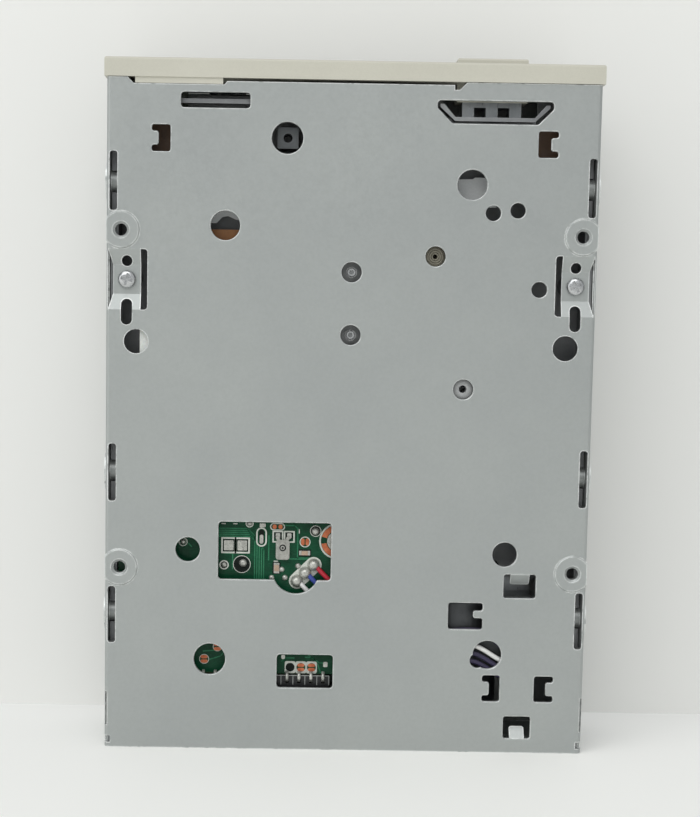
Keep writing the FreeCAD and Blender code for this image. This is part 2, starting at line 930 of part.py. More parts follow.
def chassis_frame():
    deck_half = wall_inner + seat_gap
    deck = block((-deck_half, deck_half), (deck_height, deck_top), (deck_rear, deck_front))
    wall_shape = chassis_wall()
    shapes = [deck.cut(deck_openings()), wall_shape, mirrored(wall_shape)]
    bridge_seat = pad_rise + bridge_depth + sheet
    cover_boss = disc(bridge_x, behind(bridge_back), boss_r, (bridge_seat, deck_height))
    shapes += both_sides([cover_boss])
    for x, back in board_boss_places + (rivet_place,):
        shapes.append(disc(x, behind(back), boss_r - slide_gap, (motor_board_top, deck_height)))
    for x, z in board_screw_places()[1:]:
        shapes.append(disc(x, z, boss_r, (board_top, deck_height)))
    ledge = (-wall_inner - seat_gap, -wall_inner + ledge_width)
    ledge_z = (board_rear + ledge_lead, board_rear + ledge_lead + ledge_length)
    shapes.append(block(ledge, (board_top, deck_height), ledge_z))
    shapes += button_guard() + led_bar() + sensor_posts() + rod_lugs()
    post_z = body_length - eject_spring_setback
    post_top = eject_spring_height() + spring_wire
    shapes += both_sides([disc(eject_spring_x, post_z, post_r, (deck_height, post_top))])
    whole = joined(shapes)
    cuts = []
    for side in (-1, 1):
        rod_span = (deck_rear - sheet, rod_front + sheet)
        cuts.append(rod_along(side * rod_x, rod_height, rod_r + seat_gap, rod_span))
        bridge_hole = (bridge_seat, bridge_seat + screw_length)
        cuts.append(disc(side * bridge_x, behind(bridge_back), screw_shank_r + seat_gap, bridge_hole))
    for x, back in board_boss_places + (rivet_place,):
        cuts.append(disc(x, behind(back), screw_shank_r + seat_gap, (motor_board_top, deck_height)))
    for x, z in board_screw_places():
        cuts.append(disc(x, z, screw_shank_r + seat_gap, (board_top, board_top + screw_length)))
    for x in stepper_tab_screws:
        cuts.append(disc(x, stepper_screw_z(), screw_shank_r + seat_gap, (deck_height, deck_top)))
    return whole.cut(cuts)


def eject_spring_height():
    """Height of the eject springs, just above the slider."""
    return slider_height + slider_thickness + eject_spring_r + seat_gap


def stepper_screw_z():
    """Place along the drive of the stepper bracket's screws."""
    return deck_rear + rear_strip / 2


# Top cover
def top_cover():
    half = cover_half
    shell = block((-half, half), (top_flange_bottom, form_height), (0, body_length))
    bends = [edge for edge in edges_at_height(shell, form_height) if edge.BoundBox.XLength < sheet]
    shell = shell.makeFillet(bend_radius, bends)
    under = form_height - sheet
    shell = shell.cut(block((-half + sheet, half - sheet), (top_flange_bottom, under), (sheet, body_length)))
    panel_x = (-half + top_panel_margin, half - top_panel_margin)
    panel_z = (top_panel_margin, body_length - top_panel_margin)
    pressed = rounded_window(panel_x, (under - top_panel_press, under), panel_z, bend_radius)
    sunk = rounded_window(panel_x, (form_height - top_panel_press, form_height), panel_z, bend_radius)
    return joined([shell, pressed]).cut(sunk)


# Bezel, its flap and lamp window
def bezel():
    half = bezel_width / 2
    shape = block((-half, half), (0, form_height), (bezel_back, bezel_face))
    front = [edge for edge in shape.Edges if edge.BoundBox.ZMin > bezel_face - seat_gap]
    shape = shape.makeFillet(bezel_edge_round, front)
    through = (bezel_back, bezel_face)
    inside = (bezel_back, bezel_face - bezel_front_wall)
    recess_height = (flap_bottom - 2 * slide_gap, flap_axis_height + flap_knuckle_r + swing_gap)
    recess_half = flap_half + swing_gap
    scoop_r = (finger_recess_half ** 2 + finger_recess_depth ** 2) / (2 * finger_recess_depth)
    scoop_z = bezel_face - finger_recess_depth + scoop_r
    scoop_height = (disk_slot_height[0] - bezel_front_wall, disk_slot_height[1] + bezel_front_wall)
    pin_half = flap_half + bezel_front_wall
    cuts = [
        block((-disk_slot_half, disk_slot_half), disk_slot_height, through),
        block((-recess_half, recess_half), recess_height, inside),
        disc(0, scoop_z, scoop_r, scoop_height),
        block(grown(button_x), grown(button_height), through),
        rod_along(led_x, led_height, led_r + seat_gap, through),
        rod_across(flap_axis_height, flap_axis_z, flap_pin_r + seat_gap, (-pin_half, pin_half)),
    ]
    shape = shape.cut(cuts)
    lip_x = (lip_from + lip_step + swing_gap, lip_to - swing_gap)
    lip = block(lip_x, (pad_rise, plate_inner), (body_length - lip_step + bezel_gap, bezel_back))
    tab_x = (wall_inner - bezel_front_wall, wall_inner - seat_gap)
    tab = block(tab_x, around(side_hole_height + boss_r, boss_r), (deck_front - deck_setback, bezel_back))
    return joined([shape, lip] + both_sides([tab]))


def grown(span):
    """Span of an opening that a piece slides through."""
    return (span[0] - slide_gap, span[1] + slide_gap)


def door_flap():
    height = (flap_bottom, flap_axis_height)
    leaf = block((-flap_half, flap_half), height, around(flap_axis_z, flap_thickness / 2))
    knuckle = rod_across(flap_axis_height, flap_axis_z, flap_knuckle_r, (-flap_half, flap_half))
    room = flap_spring_r + swing_gap
    notch = block(
        (flap_spring_x[0] - swing_gap, flap_spring_x[1] + swing_gap),
        around(flap_axis_height, room),
        around(flap_axis_z, room),
    )
    bore = rod_across(flap_axis_height, flap_axis_z, flap_pin_r + running_gap, (-flap_half, flap_half))
    return joined([leaf, knuckle]).cut([notch, bore])


def flap_pin():
    half = flap_half + bezel_front_wall - seat_gap
    return rod_across(flap_axis_height, flap_axis_z, flap_pin_r, (-half, half))


def coil_turns(length, wire):
    """Whole turns of a close-wound spring."""
    return max(least_turns, int(length / wire))


def wound_coil(origin, direction, length, radius, wire):
    """Close-wound spring body: a tube whose outside is ribbed turn by turn."""
    turns = coil_turns(length, wire)
    pitch = length / turns
    rib = pitch / 2
    inner = radius - 2 * rib
    edges = [Part.LineSegment(V(inner, 0, 0), V(radius - rib, 0, 0)).toShape()]
    for turn in range(turns):
        start = V(radius - rib, 0, turn * pitch)
        crest = V(radius, 0, turn * pitch + rib)
        end = V(radius - rib, 0, (turn + 1) * pitch)
        edges.append(Part.Arc(start, crest, end).toShape())
    edges.append(Part.LineSegment(V(radius - rib, 0, length), V(inner, 0, length)).toShape())
    edges.append(Part.LineSegment(V(inner, 0, length), V(inner, 0, 0)).toShape())
    body = Part.Face(Part.Wire(edges)).revolve(V(0, 0, 0), V(0, 0, 1), 360)
    body.Placement = FreeCAD.Placement(origin, FreeCAD.Rotation(V(0, 0, 1), direction))
    return body


def flap_spring():
    start = V(flap_spring_x[0], flap_axis_height - half_height, flap_axis_z)
    length = flap_spring_x[1] - flap_spring_x[0]
    coil = wound_coil(start, V(1, 0, 0), length, flap_spring_r, spring_wire)
    leg_x = around(flap_spring_x[0] + spring_wire, spring_wire / 2)
    middle = flap_spring_r - spring_wire / 2
    leg_z = around(flap_axis_z - middle, spring_wire / 2)
    leg = block(leg_x, (flap_axis_height, flap_axis_height + flap_spring_r + slide_gap), leg_z)
    return joined([coil, leg])


def led_window():
    lens = rod_along(led_x, led_height, led_r, (body_length - seat_gap, bezel_face))
    flange = rod_along(led_x, led_height, led_collar_r, (body_length - bezel_front_wall / 2, body_length))
    return joined([lens, flange])


def led_lamp():
    front = body_length - bezel_front_wall / 2 - swing_gap
    rear = front - led_length
    lamp = rod_along(led_x, led_height, led_r, (rear, front))
    collar = rod_along(led_x, led_height, led_collar_r, (rear, rear + sheet))
    foot = sensor_board_height + sensor_board_thickness
    board_front = behind(sensor_board_back[0])
    shapes = [lamp, collar]
    for side in (-1, 1):
        across = around(led_x + side * pin_pitch / 2, pin_size / 2)
        shapes.append(block(across, around(led_height, pin_size / 2), (board_front - sheet, rear)))
        pin_rear = board_front - sheet - pin_size
        shapes.append(block(across, (foot, led_height), (pin_rear, board_front - sheet)))
        shapes.append(block(across, around(led_height, pin_size / 2), (pin_rear, board_front)))
    return joined(shapes)


# Slider and eject button
def cam_slot(z, across):
    """Slanted slot that lowers a holder pin as the slider moves forward."""
    half = holder_pin_r + cam_gap
    length = math.hypot(slider_travel, holder_drop)
    lean_z = half * holder_drop / length
    lean_h = half * slider_travel / length
    low_z = z - slider_travel
    low_h = holder_pin_height - holder_drop
    sides = profile_across(
        (
            (holder_pin_height + lean_h, z - lean_z),
            (holder_pin_height - lean_h, z + lean_z),
            (low_h - lean_h, low_z + lean_z),
            (low_h + lean_h, low_z - lean_z),
        ),
        across,
    )
    ends = [rod_across(holder_pin_height, z, half, across), rod_across(low_h, low_z, half, across)]
    return sides.fuse(ends)


def travel_slot(x, z, half_x, half_z, height):
    """Slot in the slider around a fixed piece, long enough for its travel."""
    return block(around(x, half_x), height, (z - half_z - slider_travel, z + half_z))


def tongue_end():
    """Front end of the slider's tongue, where the button sits."""
    return bezel_back - button_proud - tongue_inset


def slider_plate():
    level = (slider_height, slider_height + slider_thickness)
    front = block((-slider_half, slider_half), level, (slider_front - slider_front_depth, slider_front))
    strip = block((slider_half - slider_strip, slider_half), level, (slider_rear, slider_front))
    flange_height = (slider_height, slider_flange_top)
    flange = block((slider_flange_inner, slider_flange_outer), flange_height, (slider_rear, slider_front))
    across = (slider_flange_inner - sheet, slider_flange_outer + sheet)
    flange = flange.cut([cam_slot(behind(back), across) for back in holder_pin_back])
    bracket = block(bracket_x, (bracket_foot, level[1]), (bracket_rear(), slider_front))
    tongue_x = (button_x[0] + button_stem_inset, button_x[1] - button_stem_inset)
    tongue_height = (button_height[0] + button_stem_inset / 2, button_height[1] - button_stem_inset / 2)
    tongue = block(tongue_x, tongue_height, (bracket_rear(), tongue_end()))
    bay = (tongue_x[1] - tongue_x[0]) / tongue_bays
    windows = []
    for step in range(1, tongue_bays, 2):
        span = (tongue_x[0] + step * bay, tongue_x[0] + (step + 1) * bay)
        windows.append(block(span, tongue_height, (slider_front, tongue_end() - bracket_thickness)))
    post_z = body_length - eject_spring_setback - eject_spring_length
    post_height = (slider_height, eject_spring_height() + spring_wire)
    post = disc(eject_spring_x, post_z, spring_wire + slide_gap, post_height)
    shapes = [front, bracket, tongue.cut(windows)] + both_sides([strip, flange, post])
    whole = joined(shapes)
    cuts = []
    for x in switch_places():
        half_x = switch_size[0] / 2 + swing_gap
        half_z = switch_size[1] / 2 + swing_gap
        cuts.append(travel_slot(x, behind(switch_back), half_x, half_z, level))
    for side in (-1, 1):
        half = post_r + swing_gap
        spring_z = body_length - eject_spring_setback
        cuts.append(travel_slot(side * eject_spring_x, spring_z, half, half, level))
        half = pad_stub_r + slide_gap
        cuts.append(travel_slot(side * pad_x, pad_z, half, half, level))
    return whole.cut(cuts)


def eject_button():
    cap = block(button_x, button_height, (tongue_end(), bezel_face + button_proud))
    front = [edge for edge in cap.Edges if edge.BoundBox.ZMin > bezel_face]
    return cap.makeFillet(bezel_edge_round - seat_gap, front)


def hook_ring(x, height, z, radius):
    """Hook of an extension spring, closed round its post."""
    return Part.makeTorus(radius, spring_wire / 2, V(x, height - half_height, z), V(0, 1, 0))


def extension_spring(x, height, z, radius, post_radius):
    """Close-wound extension spring along the drive, hooked at both ends."""
    ring = post_radius + seat_gap + spring_wire / 2
    start = z[0] + spring_hook_length
    length = z[1] - z[0] - 2 * spring_hook_length
    body = wound_coil(V(x, height - half_height, start), V(0, 0, 1), length, radius, spring_wire)
    end_wall = radius - spring_wire / 2
    shapes = [body]
    for spot, reach, face in ((z[0], z[0] + ring, start), (z[1], z[1] - ring, start + length)):
        shapes.append(hook_ring(x, height, spot, ring))
        shapes.append(rod_along(x, height, spring_wire / 2, (min(reach, face), max(reach, face))))
        cap = (face, face + spring_wire) if face == start else (face - spring_wire, face)
        shapes.append(rod_along(x, height, end_wall, cap))
    return joined(shapes)


def eject_springs():
    front = body_length - eject_spring_setback
    ends = (front - eject_spring_length, front)
    post = max(post_r, spring_wire + slide_gap)
    spring = extension_spring(eject_spring_x, eject_spring_height(), ends, eject_spring_r, post)
    return group(both_sides([spring]))


# Disk holder and its trigger lever
def lever_spot(distance, angle):
    """Place on the lever at a distance from its pivot."""
    turn = math.radians(angle)
    return (lever_pivot[0] - distance * math.cos(turn), lever_pivot[1] + distance * math.sin(turn))


def lever_slot(height):
    """Curved slot in the holder that the lever's pin sweeps."""
    room = lever_pin_r + swing_gap
    ring = disc(*lever_pivot, lever_length + room, height)
    ring = ring.cut(disc(*lever_pivot, lever_length - room, height))
    margin = math.degrees(room / lever_length)
    first = lever_angle + margin
    last = lever_angle - lever_swing - margin
    reach = 2 * lever_length
    wedge = outline((lever_pivot, lever_spot(reach, first), lever_spot(reach, last)), height)
    return ring.common(wedge)


def disk_holder():
    under = holder_top - holder_sheet
    top = block((-holder_outer, holder_outer), (under, holder_top), (holder_rear, holder_front))
    side = block((holder_inner, holder_outer), (holder_lip_height, holder_top), (holder_rear, holder_front))
    lip_height = (holder_lip_height, holder_lip_height + holder_sheet)
    lip = block((holder_inner - holder_lip, holder_outer), lip_height, span_behind(holder_lip_back))
    stop_x = (holder_inner - 2 * holder_lip, holder_outer)
    stop = block(stop_x, (holder_lip_height, holder_top), (holder_rear, holder_rear + holder_sheet))
    through = (under, holder_top)
    opening = block((-arm_opening_half, arm_opening_half), through, (holder_rear, behind(arm_opening_back)))
    anchor_x, anchor_z = lever_spring_anchor()
    anchor = disc(anchor_x, anchor_z, spring_wire, (under, lever_spring_height() + spring_wire))
    shapes = [top.cut([opening, lever_slot(through)])] + both_sides([side, lip, stop]) + [anchor]
    whole = joined(shapes)
    return whole.cut(disc(*lever_pivot, lever_pivot_r + seat_gap, through))


def holder_pins():
    across = (holder_outer, wall_outer - swing_gap)
    pins = [rod_across(holder_pin_height, behind(back), holder_pin_r, across) for back in holder_pin_back]
    return group(both_sides(pins))


def lever_level():
    """Heights of the lever's plate above the holder."""
    return (holder_top + slide_gap, holder_top + slide_gap + lever_thickness)


def lever_spring_height():
    """Height of the lever spring, clear of the holder below it."""
    return holder_top + slide_gap + lever_spring_r


def lever_spring_anchor():
    """Place of the holder post that the lever spring is hooked on."""
    x, z = lever_spot(lever_spring_arm, lever_angle)
    return (x, z + lever_spring_length)


def trigger_lever():
    level = lever_level()
    tip = lever_spot(lever_length, lever_angle)
    across = math.radians(lever_angle)
    half = lever_width / 2
    side = (half * math.sin(across), half * math.cos(across))
    arm = outline(
        (
            (lever_pivot[0] + side[0], lever_pivot[1] + side[1]),
            (tip[0] + side[0], tip[1] + side[1]),
            (tip[0] - side[0], tip[1] - side[1]),
            (lever_pivot[0] - side[0], lever_pivot[1] - side[1]),
        ),
        level,
    )
    pin = disc(*tip, lever_pin_r, (level[0] - lever_pin_reach, level[1]))
    post = disc(*lever_spot(lever_spring_arm, lever_angle), spring_wire, (level[0], lever_post_top()))
    whole = joined([arm, disc(*lever_pivot, half, level), disc(*tip, half, level), pin, post])
    return whole.cut(disc(*lever_pivot, lever_pivot_r + running_gap, level))


def lever_post_top():
    """Top of the small post that carries the lever spring's hook."""
    return lever_level()[1] + spring_wire + 2 * seat_gap


def lever_rivet():
    level = lever_level()
    shank = disc(*lever_pivot, lever_pivot_r, (holder_top - holder_sheet, level[1] + slide_gap))
    head = disc(*lever_pivot, lever_pivot_r + sheet, (level[1] + slide_gap, level[1] + 2 * slide_gap))
    return joined([shank, head])


def lever_spring():
    x, z = lever_spot(lever_spring_arm, lever_angle)
    height = lever_spring_height()
    hook_height = lever_level()[1] + spring_wire / 2 + seat_gap
    ring = spring_wire + seat_gap + spring_wire / 2
    start = z + spring_hook_length + lever_width / 2
    end = z + lever_spring_length
    length = end - spring_hook_length - start
    body = wound_coil(V(x, height - half_height, start), V(0, 0, 1), length, lever_spring_r, spring_wire)
    cap_r = lever_spring_r - spring_wire / 2
    half = spring_wire / 2
    shapes = [
        body,
        rod_along(x, height, cap_r, (start, start + spring_wire)),
        rod_along(x, height, cap_r, (start + length - spring_wire, start + length)),
        hook_ring(x, hook_height, z, ring),
        rod_along(x, hook_height, half, (z + ring, start + half)),
        disc(x, start + half, half, (height, hook_height)),
        hook_ring(x, height, end, ring),
        rod_along(x, height, half, (start + length - half, end - ring)),
    ]
    return joined(shapes)


# Spindle motor
def spindle_ring(outer, inner, height):
    """Ring about the spindle."""
    return disc(0, spindle_z, outer, height).cut(disc(0, spindle_z, inner, height))


def motor_board():
    level = (motor_board_height, motor_board_top)
    shape = block(motor_board_x, level, span_behind(motor_board_back))
    cuts = [disc(0, spindle_z, bearing_r + seat_gap, level)]
    for x, back in board_boss_places + (rivet_place,):
        cuts.append(disc(x, behind(back), screw_shank_r + seat_gap, level))
    for side in (-1, 1):
        cuts.append(disc(0, spindle_z + side * bearing_screw_offset, screw_shank_r + seat_gap, level))
    return shape.cut(cuts)


def spindle_bearing():
    flange_height = (motor_board_top, motor_board_top + bearing_flange)
    sleeve = disc(0, spindle_z, bearing_r, bearing_height)
    shape = joined([sleeve, disc(0, spindle_z, bearing_flange_r, flange_height)])
    bore_height = (bearing_height[0] + bearing_floor, bearing_height[1])
    cuts = [disc(0, spindle_z, shaft_r + running_gap, bore_height)]
    for side in (-1, 1):
        cuts.append(disc(0, spindle_z + side * bearing_screw_offset, screw_shank_r + seat_gap, flange_height))
    return shape.cut(cuts)


def core_r():
    """Outer radius of the stator, one air gap inside the magnet."""
    return rotor_r - rotor_wall - magnet_wall - air_gap


def turned(shape, step):
    """Shape turned about the spindle to its place among the teeth."""
    copy = shape.copy()
    copy.rotate(V(0, 0, spindle_z), V(0, 1, 0), step * 360.0 / tooth_count)
    return copy


def stator_core():
    shoe_inner = core_r() - pole_shoe
    tooth_x = (core_ring - pole_shoe, core_r() - seat_gap)
    tooth = block(tooth_x, core_height, around(spindle_z, tooth_width / 2))
    wide = block((shoe_inner, core_r() + pole_shoe), core_height, around(spindle_z, shoe_width / 2))
    shoe = spindle_ring(core_r(), shoe_inner, core_height).common(wide)
    teeth = [turned(piece, step) for step in range(tooth_count) for piece in (tooth, shoe)]
    return joined([spindle_ring(core_ring, bearing_r + seat_gap, core_height)] + teeth)


def stator_coils():
    radial = (core_ring + slide_gap, core_r() - pole_shoe - slide_gap)
    inner_half = tooth_width / 2 + seat_gap
    inner_height = (core_height[0] - seat_gap, core_height[1] + seat_gap)
    outer_height = (inner_height[0] - coil_wall, inner_height[1] + coil_wall)
    coil = block(radial, outer_height, around(spindle_z, inner_half + coil_wall))
    coil = coil.makeFillet(coil_wall / 2, edges_along(coil, V(1, 0, 0)))
    coil = coil.cut(block(radial, inner_height, around(spindle_z, inner_half)))
    return group([turned(coil, step) for step in range(tooth_count)])


def rotor_yoke():
    roof = (rotor_height[1] - rotor_wall, rotor_height[1])
    skirt = spindle_ring(rotor_r, rotor_r - rotor_wall, rotor_height)
    return joined([skirt, spindle_ring(rotor_r, shaft_r + seat_gap, roof)])


def rotor_magnet():
    outer = rotor_r - rotor_wall - seat_gap
    height = (rotor_height[0], rotor_height[1] - rotor_wall)
    return spindle_ring(outer, rotor_r - rotor_wall - magnet_wall, height)


def drive_pin_spot():
    """Place of the drive pin on the hub."""
    return (drive_pin_radius, spindle_z)


def hub_chuck():
    boss = spindle_ring(hub_boss_r, shaft_r + seat_gap, (rotor_height[1], hub_height[1]))
    disc_part = spindle_ring(hub_r, shaft_r + seat_gap, hub_height)
    hole = disc(*drive_pin_spot(), drive_pin_r + seat_gap, hub_height)
    return joined([boss, disc_part]).cut(hole)


def drive_pin():
    return disc(*drive_pin_spot(), drive_pin_r, (hub_height[0], hub_height[1] + drive_pin_rise))


def spindle_shaft():
    foot = bearing_height[0] + bearing_floor + seat_gap
    shaft = disc(0, spindle_z, shaft_r, (foot, shaft_top))
    tip = [edge for edge in shaft.Edges if edge.BoundBox.YMin > shaft_top - half_height - seat_gap]
    return shaft.makeChamfer(shaft_chamfer, tip)


# Head carriage
def head_carriage():
    front = head_z + carriage_ahead
    rear = front - carriage_length
    body = block((-carriage_half, carriage_half), carriage_height, (rear, front))
    tail_height = (deck_top + 2 * slide_gap, carriage_height[1])
    ear_inner = arm_half + arm_knuckle_r + swing_gap
    ear_outer = ear_inner + arm_ear
    tail_rear = arm_pivot_z - arm_knuckle_r - sheet
    tail = block((-ear_outer, ear_outer), tail_height, (tail_rear, rear))
    ear_height = (carriage_height[1], arm_pivot_height + arm_knuckle_r)
    ear = block((ear_inner, ear_outer), ear_height, (tail_rear, arm_pivot_z + arm_knuckle_r + sheet))
    nut_z = (rear + nut_half, rear + nut_half + nut_length)
    nut_height = around(screw_height, nut_half)
    nut = block(around(screw_x, nut_half), nut_height, nut_z)
    reach = block((carriage_half - sheet, screw_x), (nut_height[0], carriage_height[1]), nut_z)
    whole = joined([body, tail, nut, reach] + both_sides([ear]))
    along = (rear - sheet, front + sheet)
    cuts = [rod_along(screw_x, screw_height, screw_r + nut_gap, nut_z)]
    for side in (-1, 1):
        cuts.append(rod_along(side * rod_x, rod_height, rod_r + running_gap, along))
    cuts.append(rod_across(arm_pivot_height, arm_pivot_z, arm_pin_r + seat_gap, (-ear_outer, ear_outer)))
    return whole.cut(cuts)


def lower_head():
    return head_block((carriage_height[1], head_face))


def head_block(height):
    """Ceramic head, its long edges rounded."""
    shape = block(around(0, head_width / 2), height, around(head_z, head_length / 2))
    return shape.makeFillet(head_air, edges_along(shape, V(0, 1, 0)))


def lifted(shape):
    """Shape on the upper arm, turned up from the working place to the open one."""
    copy = shape.copy()
    copy.rotate(V(0, arm_pivot_height - half_height, arm_pivot_z), V(1, 0, 0), -arm_lift)
    return copy


def upper_arm():
    half = arm_half + arm_knuckle_r
    plate = block((-arm_half, arm_half), arm_height, (arm_pivot_z, head_z + arm_reach))
    knuckle = rod_across(arm_pivot_height, arm_pivot_z, arm_knuckle_r, (-half, half))
    bore = rod_across(arm_pivot_height, arm_pivot_z, arm_pin_r + running_gap, (-half, half))
    return lifted(joined([plate, knuckle]).cut(bore))


def upper_head():
    return lifted(head_block((head_face + head_air, arm_height[0])))


def arm_hinge_pin():
    half = arm_half + arm_knuckle_r + swing_gap + arm_ear
    return rod_across(arm_pivot_height, arm_pivot_z, arm_pin_r, (-half, half))


def guide_rods():
    return group([rod_along(side * rod_x, rod_height, rod_r, (deck_rear, rod_front)) for side in (-1, 1)])


# Lead screw and stepper motor
def lead_screw():
    foot = stepper_z[1] - stepper_cap + seat_gap
    thread = rod_along(screw_x, screw_height, screw_r, (foot, screw_end))
    journal = rod_along(screw_x, screw_height, screw_journal_r, (screw_end, screw_end + screw_bearing_length))
    return joined([thread, journal])


def screw_bearing():
    half = nut_half + lug_wall
    span = (screw_end + bezel_gap, screw_end + bezel_gap + screw_bearing_length)
    top = screw_height + 2 * screw_journal_r
    shape = block(around(screw_x, half), (deck_top, top), span)
    return shape.cut(rod_along(screw_x, screw_height, screw_journal_r + running_gap, span))


def stepper_motor():
    can = rod_along(screw_x, screw_height, stepper_r, stepper_z)
    rim = [edge for edge in can.Edges if edge.BoundBox.ZLength < seat_gap]
    can = can.makeFillet(sheet, rim)
    cap = rod_along(screw_x, screw_height, stepper_cap_r, (stepper_z[0] - stepper_cap, stepper_z[0] + sheet))
    lead_span = (terminal_end(0) - terminal_margin, terminal_end(stepper_lead_count - 1) + terminal_margin)
    terminal = block(terminal_x, terminal_height, lead_span)
    bore = rod_along(screw_x, screw_height, screw_r + running_gap, (stepper_z[1] - stepper_cap, stepper_z[1]))
    return joined([can, cap, terminal]).cut(bore)


def stepper_bracket():
    plate_z = (stepper_z[1], stepper_z[1] + stepper_plate)
    half = stepper_r - stepper_plate_inset
    height = around(screw_height, half)
    plate = block((screw_x - half, stepper_tab_x[1]), height, plate_z)
    tab_height = (deck_top, deck_top + slider_thickness)
    tab = block(stepper_tab_x, tab_height, (stepper_z[1], deck_rear + rear_strip))
    cuts = [rod_along(screw_x, screw_height, screw_r + swing_gap, plate_z)]
    for x in stepper_tab_screws:
        cuts.append(disc(x, stepper_screw_z(), screw_shank_r + seat_gap, tab_height))
    return joined([plate, tab]).cut(cuts)


# Screws
def pan_screw(x, z, seat, length, outward):
    """Pan-head cross screw: its head stands outward from the seat, its shank runs the other way."""
    head = sorted((seat, seat + outward * screw_head_height))
    shank = sorted((seat, seat - outward * length))
    cap = disc(x, z, screw_head_r, head)
    face = head[1] if outward > 0 else head[0]
    cap = cap.makeFillet(screw_head_height / 2, edges_at_height(cap, face))
    deep = sorted((face, face - outward * recess_depth))
    long_x = block(around(x, recess_length / 2), deep, around(z, recess_width / 2))
    long_z = block(around(x, recess_width / 2), deep, around(z, recess_length / 2))
    return joined([cap, disc(x, z, screw_shank_r, shank)]).cut([long_x, long_z])


def cover_screws():
    seat = pad_rise + bridge_depth
    length = screw_length - slide_gap
    return group([pan_screw(side * bridge_x, behind(bridge_back), seat, length, -1) for side in (-1, 1)])


def motor_screws():
    seat = motor_board_height
    short = motor_board_thickness + bearing_flange
    places = [(0.0, spindle_z + side * bearing_screw_offset, short) for side in (-1, 1)]
    long = deck_height - motor_board_height - slide_gap
    places += [(x, behind(back), long) for x, back in board_boss_places]
    return group([pan_screw(x, z, seat, length, -1) for x, z, length in places])


def motor_rivet():
    x = rivet_place[0]
    z = behind(rivet_place[1])
    head = disc(x, z, rivet_head_r, (motor_board_height - sheet, motor_board_height))
    shank = disc(x, z, screw_shank_r, (motor_board_height, deck_height - slide_gap))
    hole = disc(x, z, rivet_hole_r, (motor_board_height - sheet, motor_board_top))
    return joined([head, shank]).cut(hole)


def board_screws():
    length = board_thickness + screw_length - slide_gap - sheet
    return group([pan_screw(x, z, board_height, length, -1) for x, z in board_screw_places()])


def bracket_screws():
    seat = deck_top + slider_thickness
    length = slider_thickness + deck_thickness
    return group([pan_screw(x, stepper_screw_z(), seat, length, 1) for x in stepper_tab_screws])


# Main board
def board_screw_places():
    """Screws of the board: one on the wall's ledge and two under the deck."""
    ledge_screw = (ledge_screw_inset - wall_inner, board_rear + ledge_screw_lead)
    return [ledge_screw] + [(x, behind(back)) for x, back in deck_board_screws]


def main_board():
    level = (board_height, board_top)
    shape = block(board_x, level, board_z)
    return shape.cut([disc(x, z, screw_shank_r + seat_gap, level) for x, z in board_screw_places()])


def controller_chip():
    half = chip_size / 2
    middle = (board_z[0] + board_z[1]) / 2
    body = block(around(chip_x, half), (board_top, board_top + chip_thickness), around(middle, half))
    return body.makeChamfer(sheet / 2, edges_along(body, V(0, 1, 0)))


def trimmer():
    z = span_behind(trimmer_back)
    base = block(trimmer_x, (board_height - trimmer_thickness, board_height), z)
    middle_x = (trimmer_x[0] + trimmer_x[1]) / 2
    middle_z = (z[0] + z[1]) / 2
    face = board_height - trimmer_thickness
    dial = disc(middle_x, middle_z, trimmer_dial_r, (face - recess_width / 2, face))
    slot_half = recess_width / 2
    slot = block(
        around(middle_x, trimmer_dial_r),
        (face - recess_width / 2, face - seat_gap),
        around(middle_z, slot_half / 2),
    )
    return joined([base, dial]).cut(slot)


def data_columns():
    """Places across of the data connector's pin columns."""
    return [pin_last_x - column * pin_pitch for column in range(pin_columns)]


def low_pin(x, spare):
    """Lower-row pin: it drops through the shell and runs forward under the board."""
    half = pin_size / 2 + spare
    across = around(x, half)
    bend_z = data_shell_z[1] - pin_pitch / 2
    tail = data_shell_height[0] - pin_size
    return [
        block(across, around(pin_rows[0], half), (pin_tip - spare, bend_z + half)),
        block(across, (tail - half, pin_rows[0]), around(bend_z, half)),
        block(across, around(tail, half), (bend_z - half, board_z[0] + pin_size + half)),
        block(across, (tail - half, board_height), around(board_z[0] + pin_size, half)),
    ]


def high_pin(x, row, spare):
    """Upper-row pin: it runs forward over the board and drops to it."""
    half = pin_size / 2 + spare
    across = around(x, half)
    end = board_z[0] + pin_pitch / 2
    return [
        block(across, around(row, half), (pin_tip - spare, end + half)),
        block(across, (board_top, row), around(end, half)),
    ]


def header_shell(x, height, z):
    """Pin carrier behind the board's edge, with a foot on the board."""
    foot = block(x, (board_top, height[1]), (z[1] - sheet, board_z[0] + pin_pitch))
    return joined([block(x, height, z), foot])


def data_header():
    columns = data_columns()
    margin = pin_pitch / 2
    shell = header_shell((columns[-1] - margin, columns[0] + margin), data_shell_height, data_shell_z)
    cuts = []
    for x in columns:
        cuts += low_pin(x, seat_gap) + high_pin(x, pin_rows[1], seat_gap)
    return shell.cut(cuts)


def data_pins():
    pins = []
    for x in data_columns():
        pins.append(joined(low_pin(x, 0)))
        pins.append(joined(high_pin(x, pin_rows[1], 0)))
    return group(pins)


def power_columns():
    """Places across of the power connector's pins."""
    first = power_x - power_pitch * (power_count - 1) / 2
    return [first + column * power_pitch for column in range(power_count)]


def power_header():
    x = around(power_x, power_shell_half)
    shell = header_shell(x, power_shell_height, power_shell_z)
    pocket_x = (x[0] + power_skin, x[1] - power_skin)
    pocket_height = (power_shell_height[0] + power_skin, power_shell_height[1] - power_skin)
    pocket = block(pocket_x, pocket_height, (power_shell_z[0], data_shell_z[0]))
    cuts = [pocket]
    for place in power_columns():
        cuts += high_pin(place, power_row, seat_gap)
    return shell.cut(cuts)


def power_pins():
    return group([joined(high_pin(place, power_row, 0)) for place in power_columns()])


